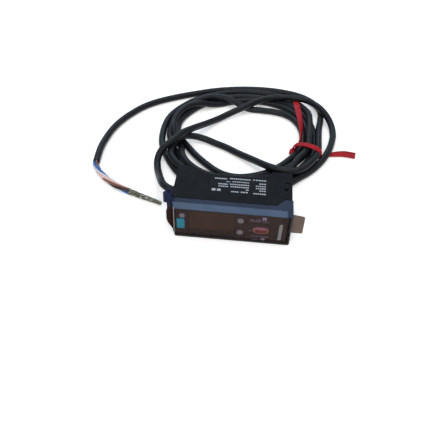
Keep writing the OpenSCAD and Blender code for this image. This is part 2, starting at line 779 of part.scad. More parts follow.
// Space between the dust cover's walls, open to the back
module cover_inside() {
    t = cover_front_t;
    polygon(concat(
        [reach_x(corner_c, corner_b, t, -cover_gap), bend(corner_c, corner_b, corner_a, t),
         reach_y(corner_b, corner_a, t, t)],
        arc([cover_end_x - cover_end_t - 0.8, t + 0.8], 0.8, -90, 0, 4),
        [[cover_end_x - cover_end_t, case_d], [-cover_gap, case_d]]
    ));
}

// Arm that carries a knuckle of the hinge; the upper one has a thumb rest
module hinge_arm(with_thumb) {
    difference() {
        union() {
            polygon([
                corner_b, corner_c, hinge + knuckle_r * [-1, 0], [-cover_gap, hinge[1]],
                reach_x(corner_c, corner_b, cover_front_t, -cover_gap),
                bend(corner_c, corner_b, corner_a, cover_front_t)
            ]);
            translate(hinge) circle(r = knuckle_r);
            if (with_thumb) translate(thumb) circle(r = thumb_r);
        }
        translate(hinge) circle(r = stud_r + play);
    }
}

module finger_tab() {
    top = cover_z1 - 0.5;
    taper = 0.9;
    facing(2.4, tab_t)
        polygon(concat(
            [[cover_end_x - 0.4, top], [cover_end_x - 0.4, top - tab_w]],
            arc([body_right - 0.8, top - tab_w + 0.8], 0.8, -90, 0),
            arc([body_right - 0.8, top - taper - 0.8], 0.8, 0, 80)
        ));
}

module dust_cover() color([0.3, 0.3, 0.36]) placed() {
    h = cover_z1 - cover_z0;
    difference() {
        union() {
            translate([0, 0, cover_z0]) linear_extrude(height = h) cover_side_outline();
            translate([0, 0, cover_z0])
                linear_extrude(height = h)
                    polygon([
                        corner_b, corner_c,
                        corner_c + cover_front_t * side_normal(corner_c, corner_b),
                        bend(corner_c, corner_b, corner_a, cover_front_t)
                    ]);
        }
        translate([0, 0, cover_z0 + cover_side_t])
            linear_extrude(height = h - 2 * cover_side_t) cover_inside();
    }
    translate([0, 0, cover_z0]) linear_extrude(height = knuckle_h) hinge_arm(false);
    translate([0, 0, cover_z1 - knuckle_h]) linear_extrude(height = knuckle_h) hinge_arm(true);
    finger_tab();
}

module set_button() color([0.1, 0.55, 0.6]) placed() {
    lip = 0.3;
    facing(panel_y - key_proud, panel_t + key_proud + 0.2)
        polygon(round_rect([set_x - set_l / 2, set_z - set_w / 2], set_l, set_w, 0.65));
    facing(flange_y, flange_t)
        polygon(round_rect(
            [set_x - set_l / 2 - 0.1, set_z - set_w / 2 - lip],
            set_l + 0.1 + lip, set_w + 2 * lip, 0.5
        ));
    post_y(set_x, flange_y, set_z, 0.8, stem_end - flange_y);
}

// Round button with a flange behind the panel and a stem to its switch
module round_button(x, z, r, lip) {
    post_y(x, panel_y - key_proud, z, r, panel_t + key_proud + 0.2);
    post_y(x, flange_y, z, r + lip, flange_t);
    post_y(x, flange_y, z, 0.8, stem_end - flange_y);
}

module preset_button() color([0.45, 0.42, 0.45]) placed()
    round_button(preset_x, preset_z, preset_r, 0.3);
module up_button() color([0.4, 0.38, 0.42]) placed() round_button(key_x, up_z, key_r, 0.5);
module down_button() color([0.4, 0.38, 0.42]) placed() round_button(key_x, down_z, key_r, 0.5);

// Lever with a pressing lobe over the fibre nose and a grip along the end face
module fibre_lever() color([0.12, 0.13, 0.14]) placed() {
    low = cheek + 0.35;
    high = case_t - cheek - 0.35;
    face = case_l - 0.1;
    grip_t = 2.2;
    knee = lever_top + (lever_y - lever_top) * 0.52;
    difference() {
        translate([0, 0, low])
            linear_extrude(height = high - low) {
                translate([lever_x, lever_y]) circle(r = lever_hub_r);
                polygon(concat(
                    [[lever_x - 1, lever_y]],
                    arc([lever_x, lever_y], lobe_r, 130, 60),
                    [[lever_x + 1, lever_y]]
                ));
                polygon([
                    [lever_x - lever_hub_r + 0.1, lever_y - 0.6], [face - grip_t, knee],
                    [face - grip_t, lever_top], [face - 0.5, lever_top],
                    [face, lever_top + 0.5], [face, lever_y - 2.4], [lever_x + 1.7, lever_y]
                ]);
            }
        for (k = [0 : 2])
            block(
                [face - 0.35, lever_top + 0.8 + k * 0.9, cheek + 2],
                [face + 1, lever_top + 1.2 + k * 0.9, case_t - cheek - 2]
            );
    }
    post_z(lever_x, lever_y, cheek - 1.6, trunnion_r, 2);
    post_z(lever_x, lever_y, case_t - cheek - 0.4, trunnion_r, 2);
}

cable_colour = [0.12, 0.13, 0.14];
module cable(route, before = undef, after = undef)
    color(cable_colour) placed() tube(route, cable_d / 2, cable_d / 2, 10, before, after);
function from_end(route, k) = route[len(route) - 1 - k];

module cable_exit() cable(exit_route, after = rise_route[1]);
module cable_rise() cable(rise_route, from_end(exit_route, 1), outer_route[1]);
module cable_diagonal() cable(diagonal_route, after = tail_route[1]);
module cable_lower_run() cable(lower_route);
module cable_outer_loop() cable(outer_route, before = from_end(rise_route, 1));
module cable_tail() cable(tail_route, from_end(diagonal_route, 1), core_route[1]);

module cable_high_turn() cable(high_turn_route);
module cable_far_turn() cable(far_turn_route);

module cable_coil() color(cable_colour) placed()
    translate([coil_centre[0], coil_centre[1], 0])
        for (step = [[0, 1.2, 1], [1 - eps, 0, coil_h - 2], [coil_h - 1 - 2 * eps, 1.2, 1]])
            translate([0, 0, step[0]])
                linear_extrude(height = step[2] + eps)
                    difference() {
                        scale([coil_squeeze, 1]) circle(r = coil_out_r - step[1], $fn = 60);
                        translate(coil_in_shift) circle(r = coil_in_r + step[1], $fn = 60);
                    }

// A flat strap through the given places, each with the direction of its width
module strap(stations, w, t) {
    count = len(stations);
    route = [for (s = stations) s[0]];
    corners = [
        for (i = [0 : count - 1])
            let (
                d = unit(heading(route, i)),
                v = unit(cross(d, stations[i][1])),
                u = cross(v, d)
            )
            for (c = [[-1, -1], [1, -1], [1, 1], [-1, 1]])
                route[i] + u * c[0] * w / 2 + v * c[1] * t / 2
    ];
    last = 4 * (count - 1);
    polyhedron(corners, concat(
        [[0, 1, 2], [0, 2, 3], [last + 2, last + 1, last], [last + 3, last + 2, last]],
        [
            for (i = [0 : count - 2]) for (k = [0 : 3])
                let (a = 4 * i + k, b = 4 * i + (k + 1) % 4)
                    each [[a, a + 4, b + 4], [a, b + 4, b]]
        ]
    ));
}

// Flat tie round the coil's right side, with its loose end on the table and a strip on the coil
module cable_tie() color([0.75, 0.1, 0.12]) placed() {
    along = [cos(tie_angle), sin(tie_angle)];
    strap([
        for (p = hoop_line)
            let (q = coil_centre + p[0] * along) [[q[0], q[1], p[1]], [-along[1], along[0], 0]]
    ], tie_w, tie_t);
    strap(strip_route, tie_w, tie_t);
    strap(loose_route, tie_w - 0.4, tie_t - 0.1);
}

// The five cores lie side by side round the middle of the route, as they leave the sheath
function core_place(k) = (core_d * 0.9) * [cos(72 * k + 18), sin(72 * k + 18)];
module core(k) {
    offset_k = core_place(k);
    route = [
        for (i = [0 : len(core_route) - 1])
            let (
                d = heading(core_route, i, from_end(tail_route, 1), tip_route[1]),
                u = across(unit(d)), v = cross(unit(d), u)
            )
            core_route[i] + u * offset_k[0] + v * offset_k[1]
    ];
    tube(route, core_d / 2, core_d / 2, 8);
}

module core_brown() color([0.45, 0.2, 0.1]) placed() core(0);
module core_blue() color([0.1, 0.35, 0.75]) placed() core(1);
module core_black() color([0.06, 0.06, 0.06]) placed() core(2);
module core_white() color([0.85, 0.85, 0.82]) placed() core(3);
module core_pink() color([0.85, 0.45, 0.35]) placed() core(4);
module tinned_ends() color([0.6, 0.6, 0.52]) placed() tube(tip_route, 1.5, 0.5, 8);

main_case();
front_panel();
display_window();
digit_display();
display_board();
key_switches();
indicator_lens();
indicator_leds();
main_board();
board_header();
controller_chip();
power_capacitors();
output_transistors();
optical_block();
emitter_led();
receiver_diode();
cable_bushing();
inner_lead();
inner_cores();
rating_label();
dust_cover();
set_button();
preset_button();
up_button();
down_button();
fibre_lever();
cable_exit();
cable_coil();
cable_high_turn();
cable_far_turn();
cable_rise();
cable_diagonal();
cable_lower_run();
cable_outer_loop();
cable_tail();
cable_tie();
core_brown();
core_blue();
core_black();
core_white();
core_pink();
tinned_ends();
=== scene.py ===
"""Looks of a fibre optic sensor amplifier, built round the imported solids.

Places are given in millimetres from the case's corner, as in the part's source, and at() turns
them into the shared frame, in metres. Numbers of shaders are in metres of the shared frame.
"""
import math
import bpy
import bmesh
from mathutils import Matrix, Vector


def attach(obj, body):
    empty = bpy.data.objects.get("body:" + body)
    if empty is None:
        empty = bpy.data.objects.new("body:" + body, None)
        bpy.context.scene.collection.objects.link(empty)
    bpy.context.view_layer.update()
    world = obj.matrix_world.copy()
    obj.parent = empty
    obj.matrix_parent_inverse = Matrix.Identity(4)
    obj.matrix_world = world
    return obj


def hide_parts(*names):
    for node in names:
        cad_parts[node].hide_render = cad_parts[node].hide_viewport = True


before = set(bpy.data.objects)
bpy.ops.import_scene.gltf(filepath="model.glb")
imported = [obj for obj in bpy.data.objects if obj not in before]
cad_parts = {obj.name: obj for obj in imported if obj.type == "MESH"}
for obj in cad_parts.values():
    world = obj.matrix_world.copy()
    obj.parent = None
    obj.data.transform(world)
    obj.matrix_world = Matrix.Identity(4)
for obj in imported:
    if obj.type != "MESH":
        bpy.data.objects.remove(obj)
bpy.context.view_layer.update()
MM = 0.001
SHIFT = Vector((-32.8, -18.0, 0.0))


def at(x, y, z):
    return (Vector((x, y, z)) + SHIFT) * MM


def add_object(name, data):
    made = bpy.data.objects.new(name, data)
    bpy.context.scene.collection.objects.link(made)
    return made


# ---------------------------------------------------------------- camera
PHOTO_WIDTH = 430           # pixels
FOCAL_LENGTH = 529.09       # pixels of the photograph
SENSOR_WIDTH = 36           # mm
EYE = Vector((0.0062, -0.215, 0.2075))
PITCH, YAW, ROLL = (math.radians(angle) for angle in (43.8, 4.32, 1.86))


def make_camera():
    forward = Vector((-math.sin(YAW) * math.cos(PITCH), math.cos(YAW) * math.cos(PITCH),
                      -math.sin(PITCH)))
    side = Vector((math.cos(YAW), math.sin(YAW), 0))
    up = side.cross(forward)
    right = math.cos(ROLL) * side + math.sin(ROLL) * up
    above = -math.sin(ROLL) * side + math.cos(ROLL) * up
    data = bpy.data.cameras.new("camera")
    data.sensor_width = SENSOR_WIDTH
    data.sensor_fit = "HORIZONTAL"
    data.lens = FOCAL_LENGTH / PHOTO_WIDTH * SENSOR_WIDTH
    data.clip_start = 0.01
    data.clip_end = 50
    camera = add_object("camera", data)
    turn = Matrix((right, above, -forward)).transposed().to_4x4()
    camera.matrix_world = Matrix.Translation(EYE) @ turn
    bpy.context.scene.camera = camera


make_camera()
bpy.context.scene.view_settings.view_transform = "Standard"


# ---------------------------------------------------------------- materials
IOR = 1.5                   # of all the plastics
CLOUDS = (0.3, 0.7)         # the part of a noise's range over which a colour or a gloss changes
SMEARS = (0.35, 0.75)       # the same for the gloss of the dust cover
DUST_SHARE = 0.16           # how much of its colour a speck of dust or a scuff adds


def tone(r, g, b):
    """A colour as it shows on a screen, 0 to 255, as the shader's linear colour."""
    def line(c):
        c /= 255
        return c / 12.92 if c <= 0.04045 else ((c + 0.055) / 1.055) ** 2.4
    return (line(r), line(g), line(b), 1.0)


class Paint:
    """One material's nodes, with short names for the nodes that this file needs."""

    def __init__(self, name, rough=0.5, metal=0.0, coat=0.0, coat_rough=0.1, shine=0.5,
                 alpha=1.0):
        self.material = bpy.data.materials.new(name)
        self.material.use_nodes = True
        self.tree = self.material.node_tree
        self.tree.nodes.clear()
        self.out = self.tree.nodes.new("ShaderNodeOutputMaterial")
        self.skin = self.tree.nodes.new("ShaderNodeBsdfPrincipled")
        self.link(self.skin.outputs[0], self.out.inputs[0])
        for socket, value in (("Roughness", rough), ("Metallic", metal), ("Coat Weight", coat),
                              ("Coat Roughness", coat_rough), ("Specular IOR Level", shine),
                              ("Alpha", alpha), ("IOR", IOR)):
            self.set(socket, value)

    def set(self, name, value):
        self.skin.inputs[name].default_value = value

    def link(self, a, b):
        self.tree.links.new(a, b)

    def node(self, kind, **settings):
        made = self.tree.nodes.new(kind)
        for key, value in settings.items():
            setattr(made, key, value)
        return made

    def place(self, kind="Object"):
        return self.node("ShaderNodeTexCoord").outputs[kind]

    def axis(self, index, kind="Object"):
        parts = self.node("ShaderNodeSeparateXYZ")
        self.link(self.place(kind), parts.inputs[0])
        return parts.outputs[index]

    def noise(self, scale, detail=3.0, rough=0.5, stretch=None):
        """Cloudy noise; scale is in features a metre, and stretch squeezes its axes."""
        texture = self.node("ShaderNodeTexNoise")
        texture.inputs["Scale"].default_value = scale
        texture.inputs["Detail"].default_value = detail
        texture.inputs["Roughness"].default_value = rough
        source = self.place()
        if stretch:
            mapping = self.node("ShaderNodeMapping")
            mapping.inputs["Scale"].default_value = stretch
            self.link(source, mapping.inputs[0])
            source = mapping.outputs[0]
        self.link(source, texture.inputs["Vector"])
        return texture.outputs["Fac"]

    def maths(self, how, a, b=None):
        step = self.node("ShaderNodeMath", operation=how)
        for value, socket in ((a, step.inputs[0]), (b, step.inputs[1])):
            if value is None:
                continue
            if isinstance(value, (int, float)):
                socket.default_value = value
            else:
                self.link(value, socket)
        return step.outputs[0]

    def span(self, value, low, high, to_low=0.0, to_high=1.0):
        """A socket's values from low to high, brought to those from to_low to to_high."""
        ranged = self.node("ShaderNodeMapRange")
        ranged.inputs["From Min"].default_value = low
        ranged.inputs["From Max"].default_value = high
        ranged.inputs["To Min"].default_value = to_low
        ranged.inputs["To Max"].default_value = to_high
        self.link(value, ranged.inputs["Value"])
        return ranged.outputs[0]

    def mix(self, share, a, b):
        """Colours a and b, each a colour or a socket, mixed by a socket."""
        mixed = self.node("ShaderNodeMix", data_type="RGBA")
        self.link(share, mixed.inputs[0])
        for value, socket in ((a, mixed.inputs[6]), (b, mixed.inputs[7])):
            if isinstance(value, tuple):
                socket.default_value = value
            else:
                self.link(value, socket)
        return mixed.outputs[2]

    def clouded(self, noise, low, high, limits=CLOUDS):
        return self.mix(self.span(noise, *limits), low, high)

    def dusted(self, base, noise, limits, dust):
        return self.mix(self.maths("MULTIPLY", self.span(noise, *limits), DUST_SHARE), base, dust)

    def colour(self, value):
        if isinstance(value, tuple):
            self.set("Base Color", value)
        else:
            self.link(value, self.skin.inputs["Base Color"])

    def rough(self, noise, low, high, limits=CLOUDS):
        self.link(self.span(noise, *limits, low, high), self.skin.inputs["Roughness"])

    def bump(self, height, strength, distance, under=None):
        """Dents as deep as distance; under is a bump that these lie on."""
        bumped = self.node("ShaderNodeBump")
        bumped.inputs["Strength"].default_value = strength
        bumped.inputs["Distance"].default_value = distance
        self.link(height, bumped.inputs["Height"])
        if under is not None:
            self.link(under, bumped.inputs["Normal"])
        self.link(bumped.outputs[0], self.skin.inputs["Normal"])
        return bumped.outputs[0]


def surface(name, low, high, rough, clouds, smears, grain, bump, limits=CLOUDS, **looks):
    """Two close colours in clouds, a gloss that changes with the smears, and a grain. Clouds,
    smears and grain are noises, and bump is the strength and the depth of the grain."""
    paint = Paint(name, **looks)
    paint.colour(paint.clouded(paint.noise(*clouds), tone(*low), tone(*high)))
    paint.rough(paint.noise(*smears), *rough, limits)
    paint.bump(paint.noise(*grain), *bump)
    return paint.material


def case_paint():
    """Black moulded plastic with a little dust."""
    paint = Paint("case_plastic", shine=0.07)
    base = paint.clouded(paint.noise(90, 5, 0.6), tone(17, 19, 22), tone(24, 26, 30), (0.3, 0.72))
    paint.colour(paint.dusted(base, paint.noise(1500, 6, 0.75), (0.66, 0.8), tone(96, 96, 98)))
    paint.rough(paint.noise(260, 4, 0.6), 0.44, 0.6)
    paint.bump(paint.noise(3600, 2), 0.16, 0.00008)
    return paint.material


def panel_paint():
    """Brown-black panel, with a painted bluish sky reflection on its faces that point up or down.
    """
    paint = Paint("panel_plastic", shine=0.16)
    clouds = paint.noise(110, 4, 0.6)
    face = paint.clouded(clouds, tone(58, 42, 38), tone(68, 50, 45))
    # Painted reflection: the faces that point up or down take a bluish tone for the sky they
    # mirror.
    edge = paint.clouded(clouds, tone(58, 72, 92), tone(70, 86, 108))
    side = paint.maths("ABSOLUTE", paint.axis(2, "Normal"))
    paint.colour(paint.mix(paint.span(side, 0.4, 0.8), face, edge))
    paint.rough(paint.noise(300, 4, 0.6), 0.3, 0.45)
    paint.bump(paint.noise(2600, 2), 0.08, 0.00006)
    return paint.material


def window_paint():
    """Smoked window: brown, with faint streaks along it from the strips of the display."""
    paint = Paint("smoked_window", shine=0.2, coat=0.05, coat_rough=0.06)
    streaks = paint.noise(520, 3, 0.5, (0.02, 1, 1))
    clouds = paint.noise(90, 3, 0.5)
    base = paint.clouded(streaks, tone(50, 28, 18), tone(98, 62, 42), (0.32, 0.68))
    edge = paint.clouded(clouds, tone(62, 42, 34), tone(84, 58, 46))
    paint.colour(paint.clouded(clouds, base, edge, (0.5, 0.75)))
    paint.rough(paint.noise(500, 3), 0.16, 0.26)
    paint.bump(paint.noise(900, 2), 0.03, 0.00005)
    return paint.material


# Where the colours of the cover's walls change, each from the first value to the second
# The band is a painted sky reflection on the upward walls, darker at the back and the fibre end;
# INDIGO_Z is where painted indigo light on the upper hinge begins.
BAND_BACK_Y = (-0.0133, -0.0128)
BAND_END_X = (0.0284, 0.029)
BAND_FLAT = (0.35, 0.8)     # of the normal's z
BAND_Z = (0.0185, 0.019)
INDIGO_Z = (0.0125, 0.0165)
HINGE_X = (-0.0322, -0.0335)
DULL_WALL_X = (-0.0312, -0.0304)


def walls_paint():
    """The cover's walls seen edge-on: painted blue-grey sky reflection on top, painted indigo
    light and brown at the hinge.
    """
    paint = Paint("smoked_walls", shine=0.08, alpha=0.94)
    clouds = paint.noise(80, 4, 0.55)
    share = paint.span(clouds, *CLOUDS)
    # Painted reflection: the blue-grey band on the walls that face up stands for the bluish sky
    # they mirror; the darker navy at the back edge and the fibre end is the same painted
    # reflection, dimmer.
    sky_reflection = paint.mix(share, tone(66, 80, 102), tone(78, 94, 118))
    dim_sky_reflection = paint.mix(share, tone(32, 38, 56), tone(42, 50, 72))
    sky_reflection = paint.mix(paint.span(paint.axis(1), *BAND_BACK_Y), sky_reflection, dim_sky_reflection)
    sky_reflection = paint.mix(paint.span(paint.axis(0), *BAND_END_X), sky_reflection, dim_sky_reflection)
    edge = paint.mix(share, tone(26, 17, 18), tone(38, 26, 27))
    top = paint.maths("MULTIPLY", paint.span(paint.axis(2, "Normal"), *BAND_FLAT),
                      paint.span(paint.axis(2), *BAND_Z))
    body = paint.mix(top, edge, sky_reflection)
    low = paint.mix(share, tone(44, 28, 26), tone(66, 44, 40))
    # Painted light: the upper hinge is indigo for the bluish light its thick plastic catches from
    # above and behind; below it the hinge is brown.
    indigo = paint.mix(share, tone(30, 35, 58), tone(46, 54, 84))
    hinge = paint.mix(paint.span(paint.axis(2), *INDIGO_Z), low, indigo)
    paint.colour(paint.mix(paint.span(paint.axis(0), *HINGE_X), body, hinge))
    paint.link(paint.span(paint.axis(0), *DULL_WALL_X, 0.0, 0.1),
               paint.skin.inputs["Specular IOR Level"])
    paint.rough(paint.noise(220, 5, 0.6), 0.14, 0.28, SMEARS)
    paint.bump(paint.noise(90, 3, 0.6), 0.1, 0.0004)
    return paint.material


LENS_MIDDLE = at(48.6, 0, 8.1)
LENS_STRAIGHT = 1.75 * MM   # half of the pill's straight length
LENS_RIM = (0.0014, 0.002)  # from the middle line
LENS_HIGHLIGHT_Z = (0.0006, 0.0013)


def lens_paint():
    """Orange lens: a dark red heart, a paler rim and a painted pink highlight along the upper
    edge.
    """
    paint = Paint("lens_orange", shine=0.3, coat=0.25, coat_rough=0.08)
    x = paint.maths("ABSOLUTE", paint.maths("SUBTRACT", paint.axis(0), LENS_MIDDLE.x))
    x = paint.maths("MAXIMUM", paint.maths("SUBTRACT", x, LENS_STRAIGHT), 0.0)
    z = paint.maths("SUBTRACT", paint.axis(2), LENS_MIDDLE.z)
    out = paint.maths("SQRT", paint.maths("ADD", paint.maths("MULTIPLY", x, x),
                                          paint.maths("MULTIPLY", z, z)))
    clouds = paint.noise(700, 3, 0.5)
    heart = paint.clouded(clouds, tone(96, 18, 14), tone(150, 40, 28))
    body = paint.mix(paint.span(out, *LENS_RIM), heart, tone(214, 150, 120))
    # Painted highlight: the pink along the upper edge stands for light caught on the top of the
    # lens.
    paint.colour(paint.mix(paint.span(z, *LENS_HIGHLIGHT_Z), body, tone(186, 120, 146)))
    paint.set("Emission Color", tone(160, 50, 30))
    paint.set("Emission Strength", 0.03)
    paint.rough(clouds, 0.12, 0.22)
    return paint.material


def sheath_paint():
    """Satin cable sheath with a fine grain, shallow dents and scuffs."""
    paint = Paint("cable_sheath", shine=0.26)
    base = paint.clouded(paint.noise(60, 5, 0.6), tone(11, 14, 19), tone(17, 22, 29))
    paint.colour(paint.dusted(base, paint.noise(700, 6, 0.7), (0.6, 0.78), tone(84, 86, 90)))
    paint.rough(paint.noise(240, 4, 0.6), 0.38, 0.54)
    fine = paint.bump(paint.noise(2400, 3), 0.12, 0.0001)
    paint.bump(paint.noise(110, 3, 0.5), 0.12, 0.0008, fine)
    return paint.material


def tin_paint():
    """Tinned strands: grey metal, darker and lighter in clouds, with painted glints."""
    paint = Paint("tinned_wire", metal=0.85)
    base = paint.clouded(paint.noise(1500, 5, 0.7), tone(52, 52, 42), tone(150, 150, 136),
                         (0.4, 0.66))
    # Painted highlight: bright glints in the colour, standing for light caught on the strands.
    glints = paint.span(paint.noise(620, 4, 0.6), 0.6, 0.68)
    paint.colour(paint.mix(glints, base, tone(226, 230, 226)))
    paint.rough(paint.noise(1100, 4), 0.22, 0.5)
    paint.bump(paint.noise(2600, 4, 0.7), 0.7, 0.0003)
    return paint.material


def board_paint():
    """Green board with a solder mask over fine copper tracks."""
    paint = Paint("circuit_board", coat=0.3)
    tracks = paint.node("ShaderNodeTexBrick")
    for socket, value in (("Scale", 420), ("Mortar Size", 0.035), ("Color1", tone(22, 84, 54)),
                          ("Color2", tone(18, 72, 48)), ("Mortar", tone(48, 124, 78))):
        tracks.inputs[socket].default_value = value
    paint.link(paint.place(), tracks.inputs["Vector"])
    paint.colour(tracks.outputs["Color"])
    paint.rough(paint.noise(300, 3), 0.25, 0.4)
    paint.bump(tracks.outputs["Fac"], 0.2, 0.00005)
    return paint.material


PAINTS = {
    "case_plastic": case_paint(), "panel_plastic": panel_paint(),
    "smoked_window": window_paint(), "smoked_cover": walls_paint(),
    "lens_orange": lens_paint(), "cable_sheath": sheath_paint(), "tinned_wire": tin_paint(),
    "circuit_board": board_paint(),
}

# Kinds of plain surface, as surface() takes them
MOULDED = dict(rough=(0.42, 0.58), clouds=(140, 5, 0.6), smears=(320, 4, 0.65),
               grain=(3200, 2), bump=(0.12, 0.00008), shine=0.35)
METAL = {**MOULDED, "rough": (0.3, 0.45)}
INK = {**MOULDED, "rough": (0.5, 0.65)}
LABEL = {**MOULDED, "rough": (0.4, 0.55), "grain": (1800, 2), "bump": (0.06, 0.00008),
         "shine": 0.07}
GLOSSY = dict(rough=(0.15, 0.3), clouds=(120, 3, 0.5), smears=(400, 3), grain=(1400, 2),
              bump=(0.05, 0.00005), coat=0.4, coat_rough=0.08)
CORE = dict(rough=(0.28, 0.42), clouds=(300, 3, 0.5), smears=(900, 3), grain=(1800, 2),
            bump=(0.15, 0.0001))
PANE = dict(rough=(0.1, 0.24), clouds=(70, 4, 0.55), smears=(220, 5, 0.6), grain=(60, 3, 0.6),
            bump=(0.06, 0.0004), limits=SMEARS, shine=0.2, alpha=0.2)
TAB = dict(rough=(0.14, 0.28), clouds=(90, 4, 0.55), smears=(260, 5, 0.6), grain=(80, 3, 0.6),
           bump=(0.08, 0.0004), limits=SMEARS, shine=0.1, alpha=0.76)
TIE = dict(rough=(0.34, 0.5), clouds=(180, 4, 0.6), smears=(500, 4, 0.6),
           grain=(1200, 3, 0.6, (0.4, 1, 1)), bump=(0.18, 0.00015), shine=0.12)

# Each plain paint's name, its two colours, its kind, and what it changes in the kind
for name, low, high, kind, changes in (
    ("display_plastic", (70, 44, 38), (84, 54, 46), GLOSSY, {}),
    ("switch_metal", (150, 150, 150), (176, 176, 172), METAL, {"metal": 0.8}),
    ("led_white", (226, 220, 196), (240, 236, 216), GLOSSY, {}),
    ("connector_plastic", (222, 218, 202), (236, 232, 218), MOULDED, {}),
    ("chip_plastic", (26, 26, 28), (34, 34, 36), MOULDED, {}),
    ("capacitor_can", (140, 142, 150), (170, 172, 178), METAL, {"metal": 0.7}),
    ("block_plastic", (24, 25, 28), (32, 34, 37), MOULDED, {}),
    ("emitter_red", (190, 46, 40), (214, 66, 54), GLOSSY, {}),
    ("receiver_dark", (34, 34, 46), (48, 48, 60), GLOSSY, {}),
    ("label_print", (17, 19, 22), (24, 26, 30), LABEL, {}),
    ("smoked_pane", (28, 17, 16), (38, 24, 22), PANE, {}),
    ("smoked_tab", (86, 62, 42), (104, 78, 56), TAB, {}),
    ("key_teal", (8, 160, 196), (22, 180, 212), GLOSSY, {"rough": (0.28, 0.42), "coat": 0.15}),
    ("key_grey", (140, 132, 146), (164, 156, 170), GLOSSY, {"rough": (0.35, 0.5), "coat": 0.1}),
    ("tie_red", (140, 18, 28), (172, 32, 42), TIE, {}),
    ("core_brown", (104, 58, 48), (128, 78, 66), CORE, {}),
    ("core_blue", (14, 62, 136), (44, 112, 188), CORE, {}),
    ("core_black", (26, 24, 24), (40, 36, 36), CORE, {}),
    ("core_white", (196, 196, 206), (216, 216, 224), CORE, {}),
    ("core_pink", (212, 172, 168), (230, 194, 188), CORE, {}),
    ("white_ink", (150, 156, 166), (178, 184, 192), INK, {}),
    ("grey_ink", (146, 136, 168), (172, 162, 194), INK, {}),
    ("mark_ink", (232, 234, 240), (244, 246, 250), INK, {}),
    ("dark_ink", (16, 11, 11), (24, 17, 17), INK, {}),
):
    PAINTS[name] = surface(name, low, high, **{**kind, **changes})


# ---------------------------------------------------------------- pieces
WELD = 2e-6                 # m
FLAT_ANGLE = math.radians(0.6)
EDGE_ANGLE = math.radians(32)
SHARP_ANGLE = math.radians(38)
TUBE_SHARP_ANGLE = math.radians(50)
CORNER_ROUND = 1.2          # mm
CORNER_SEGMENTS = 5


def finish_piece(piece, body, slot, paint=None):
    piece.data.materials.clear()
    piece.data.materials.append(PAINTS[paint or slot])
    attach(piece, body)
    return piece


def from_bmesh(name, build, body, slot, paint=None, sharp=None):
    mesh_data = bpy.data.meshes.new(name)
    build.normal_update()
    build.to_mesh(mesh_data)
    build.free()
    if sharp is not None:
        mesh_data.shade_smooth()
        mesh_data.set_sharp_from_angle(angle=sharp)
    return finish_piece(add_object(name, mesh_data), body, slot, paint)


def rounded_solid(node, name, width, segments=2, corner=None):
    """A copy of a CAD node's mesh with its edges rounded, and more so those that corner picks."""
    build = bmesh.new()
    build.from_mesh(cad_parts[node].data)
    bmesh.ops.remove_doubles(build, verts=build.verts, dist=WELD)
    bmesh.ops.dissolve_limit(build, angle_limit=FLAT_ANGLE, verts=build.verts, edges=build.edges)
    if corner:
        picked = [e for e in build.edges if corner(*(v.co / MM - SHIFT for v in e.verts))]
        bmesh.ops.bevel(build, geom=picked, offset=CORNER_ROUND * MM, segments=CORNER_SEGMENTS,
                        profile=0.5, affect="EDGES", clamp_overlap=True)
    mesh_data = bpy.data.meshes.new(name + "_raw")
    build.to_mesh(mesh_data)
    build.free()
    raw = add_object(name + "_raw", mesh_data)
    bevel = raw.modifiers.new("round", "BEVEL")
    bevel.width = width * MM
    bevel.segments = segments
    bevel.limit_method = "ANGLE"
    bevel.angle_limit = EDGE_ANGLE
    bevel.miter_outer = "MITER_ARC"
    graph = bpy.context.evaluated_depsgraph_get()
    made = bpy.data.meshes.new_from_object(raw.evaluated_get(graph))
    bpy.data.objects.remove(raw)
    made.name = name
    made.shade_smooth()
    made.set_sharp_from_angle(angle=SHARP_ANGLE)
    return made


def flatten(piece):
    """Keeps the flat faces beside rounded edges flat in the light."""
    piece.modifiers.new("flat_faces", "WEIGHTED_NORMAL").keep_sharp = True


def dress(node, name, body, slot, width, segments=2):
    """A CAD node's solid with rounded edges, shown in the node's place."""
    piece = add_object(name, rounded_solid(node, name, width, segments))
    finish_piece(piece, body, slot)
    flatten(piece)
    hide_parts(node)


# The dust cover: its lower edges that get a wide round, and where its pane and its tab are
LOW_Z, LOW_BACK_Y = 0.3, 9
HINGE_END_X, FIBRE_END_X = 1.5, 63
PANE_BACK_Y, PANE_START_X = 2.2, 0.3
TAB_START_X = 64.7


def dress_cover():
    """The dust cover as three pieces, because its pane is clearer than its walls and its tab."""
    def corner(a, b):
        low = max(a.z, b.z) < LOW_Z and abs((a - b).normalized().y) > 0.8
        ends = min(a.x, b.x) > FIBRE_END_X or max(a.x, b.x) < HINGE_END_X
        return low and ends and max(a.y, b.y) < LOW_BACK_Y

    def look(face):
        place = face.calc_center_median() / MM - SHIFT
        if place.x > TAB_START_X:
            return "cover_tab"
        front = abs(face.normal.y) > 0.9 and place.y < PANE_BACK_Y and PANE_START_X < place.x
        return "cover_pane" if front else "cover_walls"

    made = rounded_solid("dust_cover", "cover_walls", 0.18, corner=corner)
    for name, paint in (("cover_walls", "smoked_cover"), ("cover_pane", "smoked_pane"),
                        ("cover_tab", "smoked_tab")):
        build = bmesh.new()
        build.from_mesh(made)
        others = [face for face in build.faces if look(face) != name]
        bmesh.ops.delete(build, geom=others, context="FACES")
        piece = from_bmesh(name, build, "cover", "smoked_cover", paint)
        flatten(piece)
        if name == "cover_walls":
            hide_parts("dust_cover")


